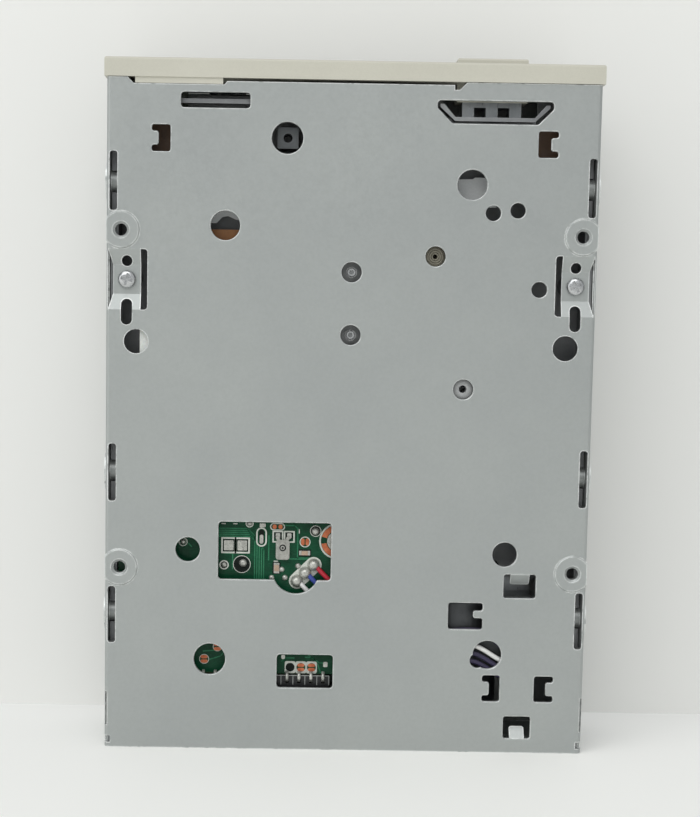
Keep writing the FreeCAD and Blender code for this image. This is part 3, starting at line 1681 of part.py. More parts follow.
def lead(points, radius, bend):
    """Wire along straight runs joined by tangent arcs."""
    route = [V(x, height - half_height, z) for x, height, z in points]
    edges = []
    start = route[0]
    for before, corner, after in zip(route, route[1:], route[2:]):
        into = before.sub(corner).normalize()
        out = after.sub(corner).normalize()
        half_turn = (math.pi - into.getAngle(out)) / 2
        reach = bend * math.tan(half_turn)
        first = corner.add(into * reach)
        last = corner.add(out * reach)
        toward = into.add(out).normalize()
        middle = corner.add(toward * (bend / math.cos(half_turn) - bend))
        edges.append(Part.LineSegment(start, first).toShape())
        edges.append(Part.Arc(first, middle, last).toShape())
        start = last
    edges.append(Part.LineSegment(start, route[-1]).toShape())
    path = Part.Wire(edges)
    section = Part.Wire(Part.makeCircle(radius, route[0], route[1].sub(route[0])))
    return path.makePipeShell([section], True, False)


def jumper(place):
    """Wire soldered under the board at both ends."""
    x, back = place
    z = behind(back)
    low = board_height - lead_drop
    turn_x = x + jumper_slant
    turn_z = z - jumper_slant
    points = (
        (x, board_height, z),
        (x, low, z),
        (turn_x, low, turn_z),
        (turn_x + jumper_run, low, turn_z),
        (turn_x + jumper_run, board_height, turn_z),
    )
    return lead(points, lead_r, lead_r)


def terminal_end(place):
    """Place along the drive of one wire at the stepper, spread about its middle."""
    middle = (stepper_z[0] + stepper_z[1]) / 2
    return middle + (place - (stepper_lead_count - 1) / 2) * stepper_lead_pitch


def stepper_lead(place):
    """Wire from the stepper's terminals to the underside of the board."""
    terminal_z = terminal_end(place)
    z = board_rear + stepper_lead_setback + place * stepper_lead_pitch
    points = (
        (stepper_lead_x[1], terminal_height[0], terminal_z),
        (stepper_lead_x[1], stepper_lead_height, terminal_z),
        (stepper_lead_x[0], stepper_lead_height, z),
        (stepper_lead_x[0], board_height, z),
    )
    return lead(points, lead_r, lead_r)


def white_lead_place():
    """Which of the stepper's wires is the white one."""
    return stepper_lead_count // 2


def stepper_leads():
    return group([stepper_lead(place) for place in range(stepper_lead_count) if place != white_lead_place()])


def stepper_lead_white():
    return stepper_lead(white_lead_place())


# Sensor boards and switches
def sensor_board(side):
    x = sensor_board_x if side > 0 else (-sensor_board_x[1], -sensor_board_x[0])
    level = (sensor_board_height, sensor_board_height + sensor_board_thickness)
    return block(x, level, span_behind(sensor_board_back))


def switch_bodies():
    foot = sensor_board_height + sensor_board_thickness
    shapes = []
    for x in switch_places():
        z = behind(switch_back)
        body = block(around(x, switch_size[0] / 2), (foot, switch_top), around(z, switch_size[1] / 2))
        well = (switch_top - plunger_depth - plunger_travel - slide_gap, switch_top)
        shapes.append(body.cut(disc(x, z, plunger_r + running_gap, well)))
    return group(shapes)


def plunger(x):
    shape = disc(x, behind(switch_back), plunger_r, (switch_top - plunger_depth, plunger_top))
    return shape.makeFillet(plunger_r / 2, edges_at_height(shape, plunger_top))


# Slider guide pads
def slide_pads():
    top = slider_height + slider_thickness + slide_gap
    shapes = []
    for side, reach in ((-1, left_pad_reach), (1, right_pad_reach)):
        x = side * pad_x
        foot_x = (x - reach[0], x + reach[1])
        foot = block(foot_x, (pad_foot, deck_height), around(pad_z, pad_half_length))
        stub = disc(x, pad_z, pad_stub_r, (deck_height, top))
        shapes.append(joined([foot, stub, disc(x, pad_z, pad_head_r, (top, top + pad_head))]))
    return group(shapes)


nodes = {
    "bottom_cover": bottom_cover(),
    "top_cover": top_cover(),
    "chassis_frame": chassis_frame(),
    "bezel": bezel(),
    "door_flap": door_flap(),
    "flap_pin": flap_pin(),
    "flap_spring": flap_spring(),
    "led_window": led_window(),
    "led_lamp": led_lamp(),
    "slider_plate": slider_plate(),
    "eject_button": eject_button(),
    "eject_springs": eject_springs(),
    "slide_pads": slide_pads(),
    "disk_holder": disk_holder(),
    "holder_pins": holder_pins(),
    "trigger_lever": trigger_lever(),
    "lever_rivet": lever_rivet(),
    "lever_spring": lever_spring(),
    "motor_board": motor_board(),
    "spindle_bearing": spindle_bearing(),
    "stator_core": stator_core(),
    "stator_coils": stator_coils(),
    "rotor_yoke": rotor_yoke(),
    "rotor_magnet": rotor_magnet(),
    "hub_chuck": hub_chuck(),
    "drive_pin": drive_pin(),
    "spindle_shaft": spindle_shaft(),
    "motor_screws": motor_screws(),
    "motor_rivet": motor_rivet(),
    "head_carriage": head_carriage(),
    "lower_head": lower_head(),
    "upper_arm": upper_arm(),
    "upper_head": upper_head(),
    "arm_hinge_pin": arm_hinge_pin(),
    "guide_rods": guide_rods(),
    "lead_screw": lead_screw(),
    "screw_bearing": screw_bearing(),
    "stepper_motor": stepper_motor(),
    "stepper_bracket": stepper_bracket(),
    "bracket_screws": bracket_screws(),
    "stepper_leads": stepper_leads(),
    "stepper_lead_white": stepper_lead_white(),
    "cover_screws": cover_screws(),
    "main_board": main_board(),
    "board_screws": board_screws(),
    "controller_chip": controller_chip(),
    "trimmer": trimmer(),
    "data_header": data_header(),
    "data_pins": data_pins(),
    "power_header": power_header(),
    "power_pins": power_pins(),
    "lead_red": jumper(jumper_starts[0]),
    "lead_blue": jumper(jumper_starts[1]),
    "lead_white": jumper(jumper_starts[2]),
    "sensor_board_left": sensor_board(-1),
    "sensor_board_right": sensor_board(1),
    "switch_bodies": switch_bodies(),
    "protect_plunger": plunger(protect_x),
    "density_plunger": plunger(density_x),
    "disk_plunger": plunger(disk_switch_x),
}

os.makedirs("parts", exist_ok=True)
for name, shape in nodes.items():
    save(name, shape)
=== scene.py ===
import math
import bmesh
import bpy
from mathutils import Matrix, Vector


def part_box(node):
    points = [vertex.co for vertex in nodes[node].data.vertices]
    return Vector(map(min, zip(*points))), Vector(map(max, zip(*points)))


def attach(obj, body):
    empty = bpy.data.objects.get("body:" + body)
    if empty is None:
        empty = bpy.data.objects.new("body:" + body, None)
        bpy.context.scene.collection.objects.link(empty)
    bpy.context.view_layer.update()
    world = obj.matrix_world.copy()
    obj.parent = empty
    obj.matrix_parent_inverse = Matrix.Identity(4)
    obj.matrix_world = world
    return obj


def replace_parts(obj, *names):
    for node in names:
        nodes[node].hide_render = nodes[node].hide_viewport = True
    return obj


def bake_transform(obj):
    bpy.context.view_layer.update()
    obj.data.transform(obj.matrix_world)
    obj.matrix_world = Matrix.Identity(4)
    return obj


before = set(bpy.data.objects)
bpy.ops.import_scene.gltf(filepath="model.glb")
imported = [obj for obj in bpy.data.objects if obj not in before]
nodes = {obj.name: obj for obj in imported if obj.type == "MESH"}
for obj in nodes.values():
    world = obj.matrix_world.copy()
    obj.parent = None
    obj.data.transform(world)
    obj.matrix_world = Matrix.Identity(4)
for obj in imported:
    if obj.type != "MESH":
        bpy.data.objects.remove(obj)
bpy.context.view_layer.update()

# Chassis frame
# The aluminium casting that everything is screwed to: two side walls and a thin deck.
# Die cast and left bare, so it is matt with a fine mottled skin, rubbed edges and some dust.


def tone(red, green, blue):
    """Screen colour as the shader wants it."""
    linear = []
    for part in (red, green, blue):
        share = part / 255
        linear.append(share / 12.92 if share <= 0.04045 else ((share + 0.055) / 1.055) ** 2.4)
    return (*linear, 1.0)


def add(tree, kind, values=None, **settings):
    """A node with its settings, and its inputs set to values or joined to other nodes."""
    node = tree.nodes.new(kind)
    for key, value in settings.items():
        setattr(node, key, value)
    for key, value in (values or {}).items():
        if isinstance(value, bpy.types.NodeSocket):
            tree.links.new(value, node.inputs[key])
        else:
            node.inputs[key].default_value = value
    return node


def effect(name, inputs, outputs):
    """An empty shader group with named sockets."""
    tree = bpy.data.node_groups.new(name, "ShaderNodeTree")
    for label, value in inputs.items():
        kind = "NodeSocketVector" if isinstance(value, tuple) else "NodeSocketFloat"
        socket = tree.interface.new_socket(label, in_out="INPUT", socket_type=kind)
        socket.default_value = value
    for label in outputs:
        tree.interface.new_socket(label, in_out="OUTPUT", socket_type="NodeSocketFloat")
    return tree, add(tree, "NodeGroupInput"), add(tree, "NodeGroupOutput")


def noise(tree, place, scale, detail, roughness=0.5):
    """Even noise over the surface."""
    values = {"Vector": place, "Scale": scale, "Detail": detail, "Roughness": roughness}
    return add(tree, "ShaderNodeTexNoise", values).outputs[0]


def spread(tree, value, low, high, new_low=0.0, new_high=1.0):
    """A value taken from one range to another and kept within it."""
    values = {"Value": value, "From Min": low, "From Max": high, "To Min": new_low, "To Max": new_high}
    return add(tree, "ShaderNodeMapRange", values).outputs[0]


def product(tree, first, second):
    """Two values multiplied."""
    return add(tree, "ShaderNodeMath", {0: first, 1: second}, operation="MULTIPLY").outputs[0]


def grain_group():
    """Cloudy patches and fine grain over a surface, which a stretch can draw out along one way."""
    inputs = {"Patch size": 60.0, "Grain size": 1500.0, "Stretch": (1.0, 1.0, 1.0)}
    tree, given, out = effect("surface_grain", inputs, ("Patches", "Grain"))
    place = add(tree, "ShaderNodeTexCoord").outputs["Object"]
    values = {0: place, 1: given.outputs["Stretch"]}
    drawn = add(tree, "ShaderNodeVectorMath", values, operation="MULTIPLY").outputs[0]
    patches = noise(tree, place, given.outputs["Patch size"], 4.0, 0.55)
    fine = noise(tree, drawn, given.outputs["Grain size"], 3.0, 0.6)
    tree.links.new(spread(tree, patches, 0.3, 0.7), out.inputs["Patches"])
    tree.links.new(fine, out.inputs["Grain"])
    return tree


def wear_and_glint_group():
    """Edges made bright where the surface turns sharply, broken up by noise: wear, on some finishes painted
    glint.
    """
    tree, given, out = effect("edge_wear_and_glint", {"Reach": 0.0003, "Amount": 0.5}, ("Worn and glinting",))
    place = add(tree, "ShaderNodeTexCoord").outputs["Object"]
    surface = add(tree, "ShaderNodeNewGeometry").outputs["Normal"]
    softened = add(tree, "ShaderNodeBevel", {"Radius": given.outputs["Reach"]}, samples=4).outputs[0]
    turn = add(tree, "ShaderNodeVectorMath", {0: softened, 1: surface}, operation="DOT_PRODUCT")
    sharp = spread(tree, turn.outputs["Value"], 0.98, 0.75)
    patchy = spread(tree, noise(tree, place, 700.0, 4.0), 0.35, 0.6)
    worn_and_glinting = product(tree, product(tree, sharp, patchy), given.outputs["Amount"])
    tree.links.new(worn_and_glinting, out.inputs["Worn and glinting"])
    return tree


def dust_group():
    """Dust that settles on what faces up, thicker in patches."""
    tree, given, out = effect("settled_dust", {"Amount": 0.3, "Patch size": 180.0}, ("Dust",))
    place = add(tree, "ShaderNodeTexCoord")
    facing = add(tree, "ShaderNodeSeparateXYZ", {0: place.outputs["Normal"]})
    flat = spread(tree, facing.outputs["Z"], 0.2, 1.0)
    drift = noise(tree, place.outputs["Object"], given.outputs["Patch size"], 6.0, 0.7)
    specks = spread(tree, drift, 0.35, 0.75)
    dust = product(tree, product(tree, flat, specks), given.outputs["Amount"])
    tree.links.new(dust, out.inputs["Dust"])
    return tree


surface_grain = grain_group()
edge_wear_and_glint = wear_and_glint_group()
settled_dust = dust_group()


def blended(tree, share, first, second):
    """Colour between two, by a share that changes over the surface."""
    mix = add(tree, "ShaderNodeMix", data_type="RGBA")
    tree.links.new(share, mix.inputs[0])
    for place, colour in ((6, first), (7, second)):
        if isinstance(colour, bpy.types.NodeSocket):
            tree.links.new(colour, mix.inputs[place])
        else:
            mix.inputs[place].default_value = colour
    return mix.outputs[2]


def finish(name, dark, light, rough, patch=60.0, grain=1500.0, stretch=(1.0, 1.0, 1.0), bump=0.00001,
           worn_and_glinting=None, wear_and_glint=0.5, reach=0.0003, dust=0.25, settles=None, speck=0.06, rough_play=0.1, **sockets):
    """A bare or moulded surface: two close colours in patches, fine grain, bright edges (rubbed wear, on some
    finishes painted glint) and dust.
    """
    material = bpy.data.materials.new(name)
    material.use_nodes = True
    tree = material.node_tree
    shader = tree.nodes["Principled BSDF"]
    skin = add(tree, "ShaderNodeGroup", node_tree=surface_grain)
    for label, value in (("Patch size", patch), ("Grain size", grain), ("Stretch", stretch)):
        skin.inputs[label].default_value = value
    colour = blended(tree, skin.outputs["Patches"], dark, light)
    speckle = spread(tree, skin.outputs["Grain"], 0.35, 0.65)
    shade = spread(tree, speckle, 0.0, 1.0, 1 - speck, 1 + speck)
    colour = add(tree, "ShaderNodeVectorMath", {0: colour, 1: shade}, operation="MULTIPLY").outputs[0]
    if worn_and_glinting:
        edges = add(tree, "ShaderNodeGroup", node_tree=edge_wear_and_glint)
        edges.inputs["Amount"].default_value = wear_and_glint
        edges.inputs["Reach"].default_value = reach
        colour = blended(tree, edges.outputs["Worn and glinting"], colour, worn_and_glinting)
    settled = add(tree, "ShaderNodeGroup", node_tree=settled_dust)
    settled.inputs["Amount"].default_value = dust
    colour = blended(tree, settled.outputs["Dust"], colour, settles or tone(176, 170, 158))
    tree.links.new(colour, shader.inputs["Base Color"])
    sheen = spread(tree, skin.outputs["Grain"], 0.3, 0.7, rough - rough_play, rough + rough_play)
    tree.links.new(sheen, shader.inputs["Roughness"])
    relief = add(tree, "ShaderNodeBump", {"Height": skin.outputs["Grain"], "Distance": bump, "Strength": 0.6})
    tree.links.new(relief.outputs[0], shader.inputs["Normal"])
    for label, value in sockets.items():
        shader.inputs[label.replace("_", " ")].default_value = value
    return material


def dress(material, *names):
    """Gives CAD nodes their finish."""
    for name in names:
        mesh = nodes[name].data
        mesh.materials.clear()
        mesh.materials.append(material)


dress(
    finish("bare_casting", tone(120, 122, 124), tone(148, 150, 151), 0.5, patch=140.0, grain=2200.0,
           bump=0.00004, worn_and_glinting=tone(190, 191, 192), dust=0.4, Metallic=0.6),
    "chassis_frame",
)

# Spindle motor
# A brown paper-laminate board carries the wound stator and a sintered bearing; the rotor is a
# pressed steel cup with a ferrite ring and a plated hub, all on one ground shaft.
mm = 0.001
underside = -12.7


def spot(x, height, z):
    """Point from millimetres across, up from the underside and along the drive."""
    return Vector((x * mm, (height + underside) * mm, z * mm))


def new_piece(name, mesh):
    """An object for a mesh, curve, lamp or camera, at the origin."""
    piece = bpy.data.objects.new(name, mesh)
    bpy.context.scene.collection.objects.link(piece)
    return piece


def from_bmesh(name, bm, smooth=None):
    """Mesh from a bmesh, its doubles merged, its faces turned outwards and smooth up to an angle."""
    bmesh.ops.remove_doubles(bm, verts=bm.verts, dist=1e-7)
    bmesh.ops.recalc_face_normals(bm, faces=bm.faces)
    for face in bm.faces:
        face.smooth = smooth is not None
    if smooth is not None:
        for edge in bm.edges:
            edge.smooth = len(edge.link_faces) == 2 and edge.calc_face_angle() < math.radians(smooth)
    mesh = bpy.data.meshes.new(name)
    bm.to_mesh(mesh)
    bm.free()
    return mesh


def lathe(bm, profile, sides, axis_sign=1.0):
    """Turned shape about Y from radius and height pairs in millimetres, closed where the radius is zero."""
    rings = []
    for radius, height in profile:
        y = height * mm * axis_sign
        if radius == 0:
            rings.append([bm.verts.new((0, y, 0))])
            continue
        ring = []
        for step in range(sides):
            turn = 2 * math.pi * step / sides
            ring.append(bm.verts.new((radius * mm * math.cos(turn), y, radius * mm * math.sin(turn))))
        rings.append(ring)
    for low, high in zip(rings, rings[1:]):
        for step in range(sides):
            after = (step + 1) % sides
            if len(low) == 1:
                bm.faces.new((low[0], high[step], high[after]))
            elif len(high) == 1:
                bm.faces.new((low[step], low[after], high[0]))
            else:
                bm.faces.new((low[step], low[after], high[after], high[step]))


def shape_tree(name, start, kinds, result):
    """An empty geometry group with named sockets, and the identifiers of its inputs."""
    tree = bpy.data.node_groups.new(name, "GeometryNodeTree")
    tree.interface.new_socket(start, in_out="INPUT", socket_type="NodeSocketGeometry")
    sockets = {}
    for label, kind in kinds.items():
        socket = tree.interface.new_socket(label, in_out="INPUT", socket_type="NodeSocket" + kind)
        sockets[label] = socket.identifier
    tree.interface.new_socket(result, in_out="OUTPUT", socket_type="NodeSocketGeometry")
    return tree, sockets, add(tree, "NodeGroupInput")


def painted(tree, given, placed):
    """Turns instances into plain mesh with the given finish, as the group's result."""
    plain = add(tree, "GeometryNodeRealizeInstances", {0: placed.outputs[0]}).outputs[0]
    values = {0: plain, "Material": given.outputs["Finish"]}
    coated = add(tree, "GeometryNodeSetMaterial", values).outputs[0]
    add(tree, "NodeGroupOutput", {0: coated})


def copies_tree():
    """Copies of one shape on points, each given its own turn about Y."""
    kinds = {"Shape": "Object", "Finish": "Material", "Turn": "Float", "Seed": "Int"}
    tree, sockets, given = shape_tree("copies_on_points", "Places", kinds, "Copies")
    values = {"Object": given.outputs["Shape"]}
    shape = add(tree, "GeometryNodeObjectInfo", values, transform_space="ORIGINAL").outputs["Geometry"]
    most = add(tree, "ShaderNodeCombineXYZ", {"Y": given.outputs["Turn"]}).outputs[0]
    values = {"Max": most, "Seed": given.outputs["Seed"]}
    turn = add(tree, "FunctionNodeRandomValue", values, data_type="FLOAT_VECTOR").outputs[0]
    values = {"Points": given.outputs["Places"], "Instance": shape, "Rotation": turn}
    painted(tree, given, add(tree, "GeometryNodeInstanceOnPoints", values))
    return tree, sockets


copies_on_points, copies_sockets = copies_tree()


def worked_out(piece):
    """Plain mesh of an object as its modifiers or its curve make it."""
    graph = bpy.context.evaluated_depsgraph_get()
    return bpy.data.meshes.new_from_object(piece.evaluated_get(graph))


def grown(name, start, tree, sockets, values):
    """Plain mesh piece that a geometry tree makes from a starting mesh."""
    seed = new_piece(name, start)
    made = seed.modifiers.new("made", "NODES")
    made.node_group = tree
    for label, value in values.items():
        made[sockets[label]] = value
    mesh = worked_out(seed)
    mesh.name = name
    seed.modifiers.remove(made)
    seed.data = mesh
    bpy.data.meshes.remove(start)
    return seed


def point_cloud(name, points):
    """Mesh of loose points."""
    mesh = bpy.data.meshes.new(name + "_places")
    mesh.from_pydata(points, [], [])
    return mesh


def copies(name, points, shape_mesh, material, seed=1):
    """One piece made of copies of a mesh on points, each turned by chance."""
    full_turn = 6.28
    pattern = new_piece(name + "_pattern", shape_mesh)
    values = {"Shape": pattern, "Finish": material, "Turn": full_turn, "Seed": seed}
    piece = grown(name, point_cloud(name, points), copies_on_points, copies_sockets, values)
    bpy.data.objects.remove(pattern)
    bpy.data.meshes.remove(shape_mesh)
    return piece


def pan_screw(length, outward):
    """Pan-head cross screw with a rolled thread, seated at the origin."""
    head_r, head_height, head_wall, head_edge = 1.88, 1.22, 0.3, 0.06
    core_r, crest_r, pitch = 0.98, 1.19, 0.5
    thread_start, thread_rest, tip, tip_taper = 0.25, 0.3, 0.1, 0.15
    slot_width, slot_length, slot_depth = 0.56, 2.5, 1.7
    sides, crease = 32, 40
    crown = ((0, 0), (0.9, 0.02), (1.35, 0.12), (1.66, 0.34), (1.82, 0.62))
    profile = [(radius, drop - head_height) for radius, drop in crown]
    profile += [(head_r, -head_wall), (head_r, -head_edge), (head_r - head_edge, 0), (core_r, 0)]
    along = thread_start
    while along + pitch < length - thread_rest:
        profile += [(core_r, along), (crest_r, along + pitch * 0.4), (crest_r, along + pitch * 0.5)]
        along += pitch
    profile += [(core_r, along), (core_r - tip_taper, length - tip), (0, length - tip)]
    bm = bmesh.new()
    lathe(bm, profile, sides, outward)
    body = new_piece("screw_body", from_bmesh("screw_body", bm, crease))
    cutter = bmesh.new()
    top = Matrix.Translation((0, -outward * head_height * mm, 0))
    for width, reach in ((slot_width, slot_length), (slot_length, slot_width)):
        size = Matrix.Diagonal((width * mm, slot_depth * mm, reach * mm, 1))
        bmesh.ops.create_cube(cutter, size=1, matrix=top @ size)
    cross = new_piece("screw_cross", from_bmesh("screw_cross", cutter))
    cut = body.modifiers.new("recess", "BOOLEAN")
    cut.object = cross
    cut.solver = "EXACT"
    cut.use_self = True
    mesh = worked_out(body)
    for leftover in (body, cross):
        bpy.data.meshes.remove(leftover.data)
    return mesh


bright_zinc = finish("bright_zinc", tone(176, 178, 180), tone(206, 207, 208), 0.26, patch=900.0, grain=5000.0,
                     bump=0.000004, worn_and_glinting=tone(238, 238, 236), wear_and_glint=0.7, reach=0.00015, dust=0.2,
                     Metallic=0.95)
dress(
    finish("paper_laminate", tone(122, 78, 38), tone(146, 98, 52), 0.55, patch=220.0, grain=1600.0,
           stretch=(1.0, 1.0, 0.25), worn_and_glinting=tone(176, 132, 82), wear_and_glint=0.4, dust=0.3),
    "motor_board",
)
# Its near-white edges are painted highlight rings.
grey_zinc = finish("grey_zinc", tone(176, 178, 178), tone(192, 194, 194), 0.4, patch=900.0, grain=5000.0,
                   bump=0.000004, worn_and_glinting=tone(250, 250, 249), wear_and_glint=1.0, reach=0.00015, dust=0.1, Metallic=0.15)
# A darker copy of the grey zinc for the motor studs: painted shade of the recess round them; its near-white
# edges are painted highlight rings.
zinc_painted_shade = finish("zinc_painted_shade", tone(148, 150, 151), tone(166, 168, 169), 0.36, patch=900.0, grain=5000.0,
                   bump=0.000004, worn_and_glinting=tone(252, 252, 251), wear_and_glint=1.8, reach=0.0001, dust=0.1, Metallic=0.3)
turned_brass = finish("turned_brass", tone(120, 116, 103), tone(142, 138, 124), 0.36, patch=700.0,
                      grain=3000.0, stretch=(1.0, 6.0, 1.0), bump=0.000006, worn_and_glinting=tone(196, 190, 168),
                      reach=0.00008, dust=0.2, Metallic=0.4)


def flanged_fastener(name, middle, flange, length):
    """Turned fastener from the outline of its face, the radius of its flange and its shank's length."""
    shank, edge = 0.98, 0.06
    sides, crease = 40, 35
    profile = middle + [(flange, -edge), (flange - edge, 0.0), (shank, 0.0), (shank, length), (0, length)]
    bm = bmesh.new()
    lathe(bm, profile, sides)
    return from_bmesh(name, bm, crease)


def fixed(piece):
    """Fixes a piece to the drive."""
    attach(piece, "drive")


def fitted(piece, node):
    """Fixes a piece to the drive in place of a CAD node."""
    fixed(piece)
    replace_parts(piece, node)


def screws(node, label, places, length, outward, seed):
    """Pan-head screws in place of a CAD node, each turned its own way."""
    for number, place in enumerate(places):
        shape = pan_screw(length, outward)
        screw = copies(f"{label}_{number + 1}", [spot(*place)], shape, bright_zinc, seed=seed + number)
        fitted(screw, node)


ringed_stud = [(0, -1.4), (0.4, -1.4), (0.44, -2.02), (0.5, -2.1), (0.78, -2.1), (0.84, -2.02), (0.86, -1.1),
               (0.98, -1.1), (1.0, -1.76), (1.1, -1.8), (1.16, -1.72), (1.18, -0.5), (2.24, -0.42),
               (2.3, -0.34)]
deep_hole = [(0, 4.6), (0.74, 4.6), (0.78, -1.8), (0.86, -1.88), (1.95, -1.84), (2.15, -1.72), (2.25, -1.5)]
ringed_eyelet = [(0, 4.6), (0.42, 4.6), (0.46, -1.76), (0.54, -1.84), (0.7, -1.84), (0.74, -1.4), (0.9, -1.4),
                 (0.94, -1.84), (1.16, -1.84), (1.2, -1.4), (1.36, -1.4), (1.4, -1.84), (1.62, -1.84),
                 (1.66, -1.5), (1.78, -1.5), (1.82, -1.84), (2.05, -1.8), (2.25, -1.5)]
motor_face = 3.6
spindle_z, stud_back = 94.15, 6.45
stud_r, stud_length = 2.3, 1.9
flange_r, rivet_length, eyelet_length = 2.25, 6.1, 4.8
motor_screw_length = 6.2
front_stud = flanged_fastener("stud_shape", ringed_stud, stud_r, stud_length)
rear_stud = flanged_fastener("stud_shape", ringed_stud, stud_r, stud_length)
rear_rivet = flanged_fastener("rivet_shape", deep_hole, flange_r, rivet_length)
# The two studs take the zinc with painted shade.
motor_spots = (
    ("motor_stud_front", 0.0, spindle_z + stud_back, front_stud, zinc_painted_shade),
    ("motor_stud_rear", 0.0, spindle_z - stud_back, rear_stud, zinc_painted_shade),
    ("motor_rivet_rear", 23.6, 76.85, rear_rivet, grey_zinc),
    ("motor_screw", -30.0, 80.5, pan_screw(motor_screw_length, 1.0), bright_zinc),
)
for name, x, z, shape, material in motor_spots:
    fitted(copies(name, [spot(x, motor_face, z)], shape, material, seed=2), "motor_screws")
rivet_low, rivet_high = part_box("motor_rivet")
rivet_middle = (rivet_low + rivet_high) / 2
rivet_place = (rivet_middle.x, spot(0, motor_face, 0).y, rivet_middle.z)
eyelet_shape = flanged_fastener("eyelet_shape", ringed_eyelet, flange_r, eyelet_length)
fitted(copies("brass_eyelet", [rivet_place], eyelet_shape, turned_brass), "motor_rivet")
dress(
    finish("sintered_bearing", tone(128, 104, 66), tone(168, 140, 92), 0.42, patch=500.0, grain=6000.0,
           Metallic=0.9),
    "spindle_bearing",
)
dress(
    finish("stamped_lamination", tone(70, 72, 76), tone(98, 100, 104), 0.45, patch=300.0, grain=4000.0,
           stretch=(1.0, 8.0, 1.0), Metallic=0.8),
    "stator_core",
)
dress(
    finish("enamelled_wire", tone(124, 52, 20), tone(176, 84, 40), 0.3, patch=800.0, grain=3200.0,
           stretch=(3.0, 0.2, 3.0), bump=0.00008, Metallic=0.7, Coat_Weight=0.4),
    "stator_coils",
)
dress(
    finish("plated_cup", tone(146, 149, 152), tone(182, 184, 186), 0.32, patch=160.0, grain=2600.0,
           bump=0.000006, worn_and_glinting=tone(214, 215, 216), Metallic=0.95),
    "rotor_yoke", "hub_chuck",
)
dress(
    finish("pressed_ferrite", tone(34, 34, 36), tone(52, 52, 54), 0.7, patch=400.0, grain=4200.0,
           bump=0.00002, worn_and_glinting=tone(84, 84, 86), Metallic=0.1),
    "rotor_magnet",
)
ground_steel = finish("ground_steel", tone(176, 179, 182), tone(204, 206, 208), 0.22, patch=250.0,
                      grain=5200.0, stretch=(1.0, 1.0, 0.1), bump=0.000003, worn_and_glinting=tone(236, 236, 236),
                      dust=0.1, Metallic=1.0)
dress(
    ground_steel,
    "spindle_shaft", "drive_pin", "guide_rods", "arm_hinge_pin",
    "holder_pins", "lever_rivet", "flap_pin",
)

# Head carriage
# The black moulded carriage slides on two ground rods and holds one ceramic head; a sprung
# steel arm hinged at its rear carries the other.
dress(
    finish("black_moulding", tone(26, 26, 28), tone(42, 42, 44), 0.5, patch=240.0, grain=2600.0,
           bump=0.00002, worn_and_glinting=tone(84, 84, 86), wear_and_glint=0.35, dust=0.35),
    "head_carriage", "screw_bearing",
)
dress(
    finish("head_ceramic", tone(52, 46, 42), tone(72, 66, 60), 0.18, patch=900.0, grain=6000.0,
           bump=0.000002, Coat_Weight=0.5),
    "lower_head", "upper_head",
)
slide_steel = finish("slide_steel", tone(134, 138, 140), tone(162, 165, 167), 0.36, patch=110.0, grain=2400.0,
                     stretch=(1.0, 1.0, 0.15), worn_and_glinting=tone(212, 213, 214), dust=0.35, Metallic=0.85)
dress(slide_steel, "upper_arm")

# Stepper motor and lead screw
# A dark grey steel can on a bent bracket turns a screw with one deep groove; the carriage's nut
# follows the groove. Its five thin wires run behind the plate to the board.
dress(
    finish("dark_grey_can", tone(58, 60, 62), tone(78, 80, 82), 0.46, patch=120.0, grain=2000.0,
           bump=0.000008, worn_and_glinting=tone(136, 138, 138), dust=0.2, Metallic=0.6),
    "stepper_motor",
)
dress(slide_steel, "stepper_bracket")
bracket_spots = ((32.0, 12.0, 38.5), (37.5, 12.0, 38.5))
screws("bracket_screws", "bracket_screw", bracket_spots, length=2.0, outward=-1.0, seed=0)


def grooved_screw():
    """Lead screw with a helical groove, and its thin front journal."""
    axis_x, axis_height = 24.0, 11.6
    low, end, tip, tip_edge = 30.05, 71.5, 75.0, 0.15
    crest_r, groove, half_groove, journal_r, lead = 1.5, 0.42, 0.22, 1.05, 3.0
    sides, step_length, crease = 40, 0.15, 35
    steps = int((end - low) / step_length)
    bm = bmesh.new()

    def ring(z, radii):
        """Corners around the axis, each at its own radius."""
        corners = []
        for side, radius in enumerate(radii):
            turn = 2 * math.pi * side / sides
            x = axis_x + radius * math.cos(turn)
            corners.append(bm.verts.new(spot(x, axis_height + radius * math.sin(turn), z)))
        return corners

    rings = []
    for step in range(steps + 1):
        z = low + (end - low) * step / steps
        radii = []
        for side in range(sides):
            phase = (z / lead - side / sides) % 1.0
            dip = max(0.0, 1.0 - abs(phase - 0.5) / half_groove)
            radii.append(crest_r - groove * dip * dip * (3 - 2 * dip))
        rings.append(ring(z, radii))
    for z, radius in ((end, journal_r), (tip - tip_edge, journal_r), (tip, journal_r - tip_edge)):
        rings.append(ring(z, [radius] * sides))
    for first, second in zip(rings, rings[1:]):
        for side in range(sides):
            after = (side + 1) % sides
            bm.faces.new((first[side], first[after], second[after], second[side]))
    bm.faces.new(rings[0])
    bm.faces.new(rings[-1])
    return from_bmesh("lead_screw_grooved", bm, crease)


screw = new_piece("lead_screw_grooved", grooved_screw())
screw.data.materials.append(ground_steel)
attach(screw, "screw")
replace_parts(screw, "lead_screw")


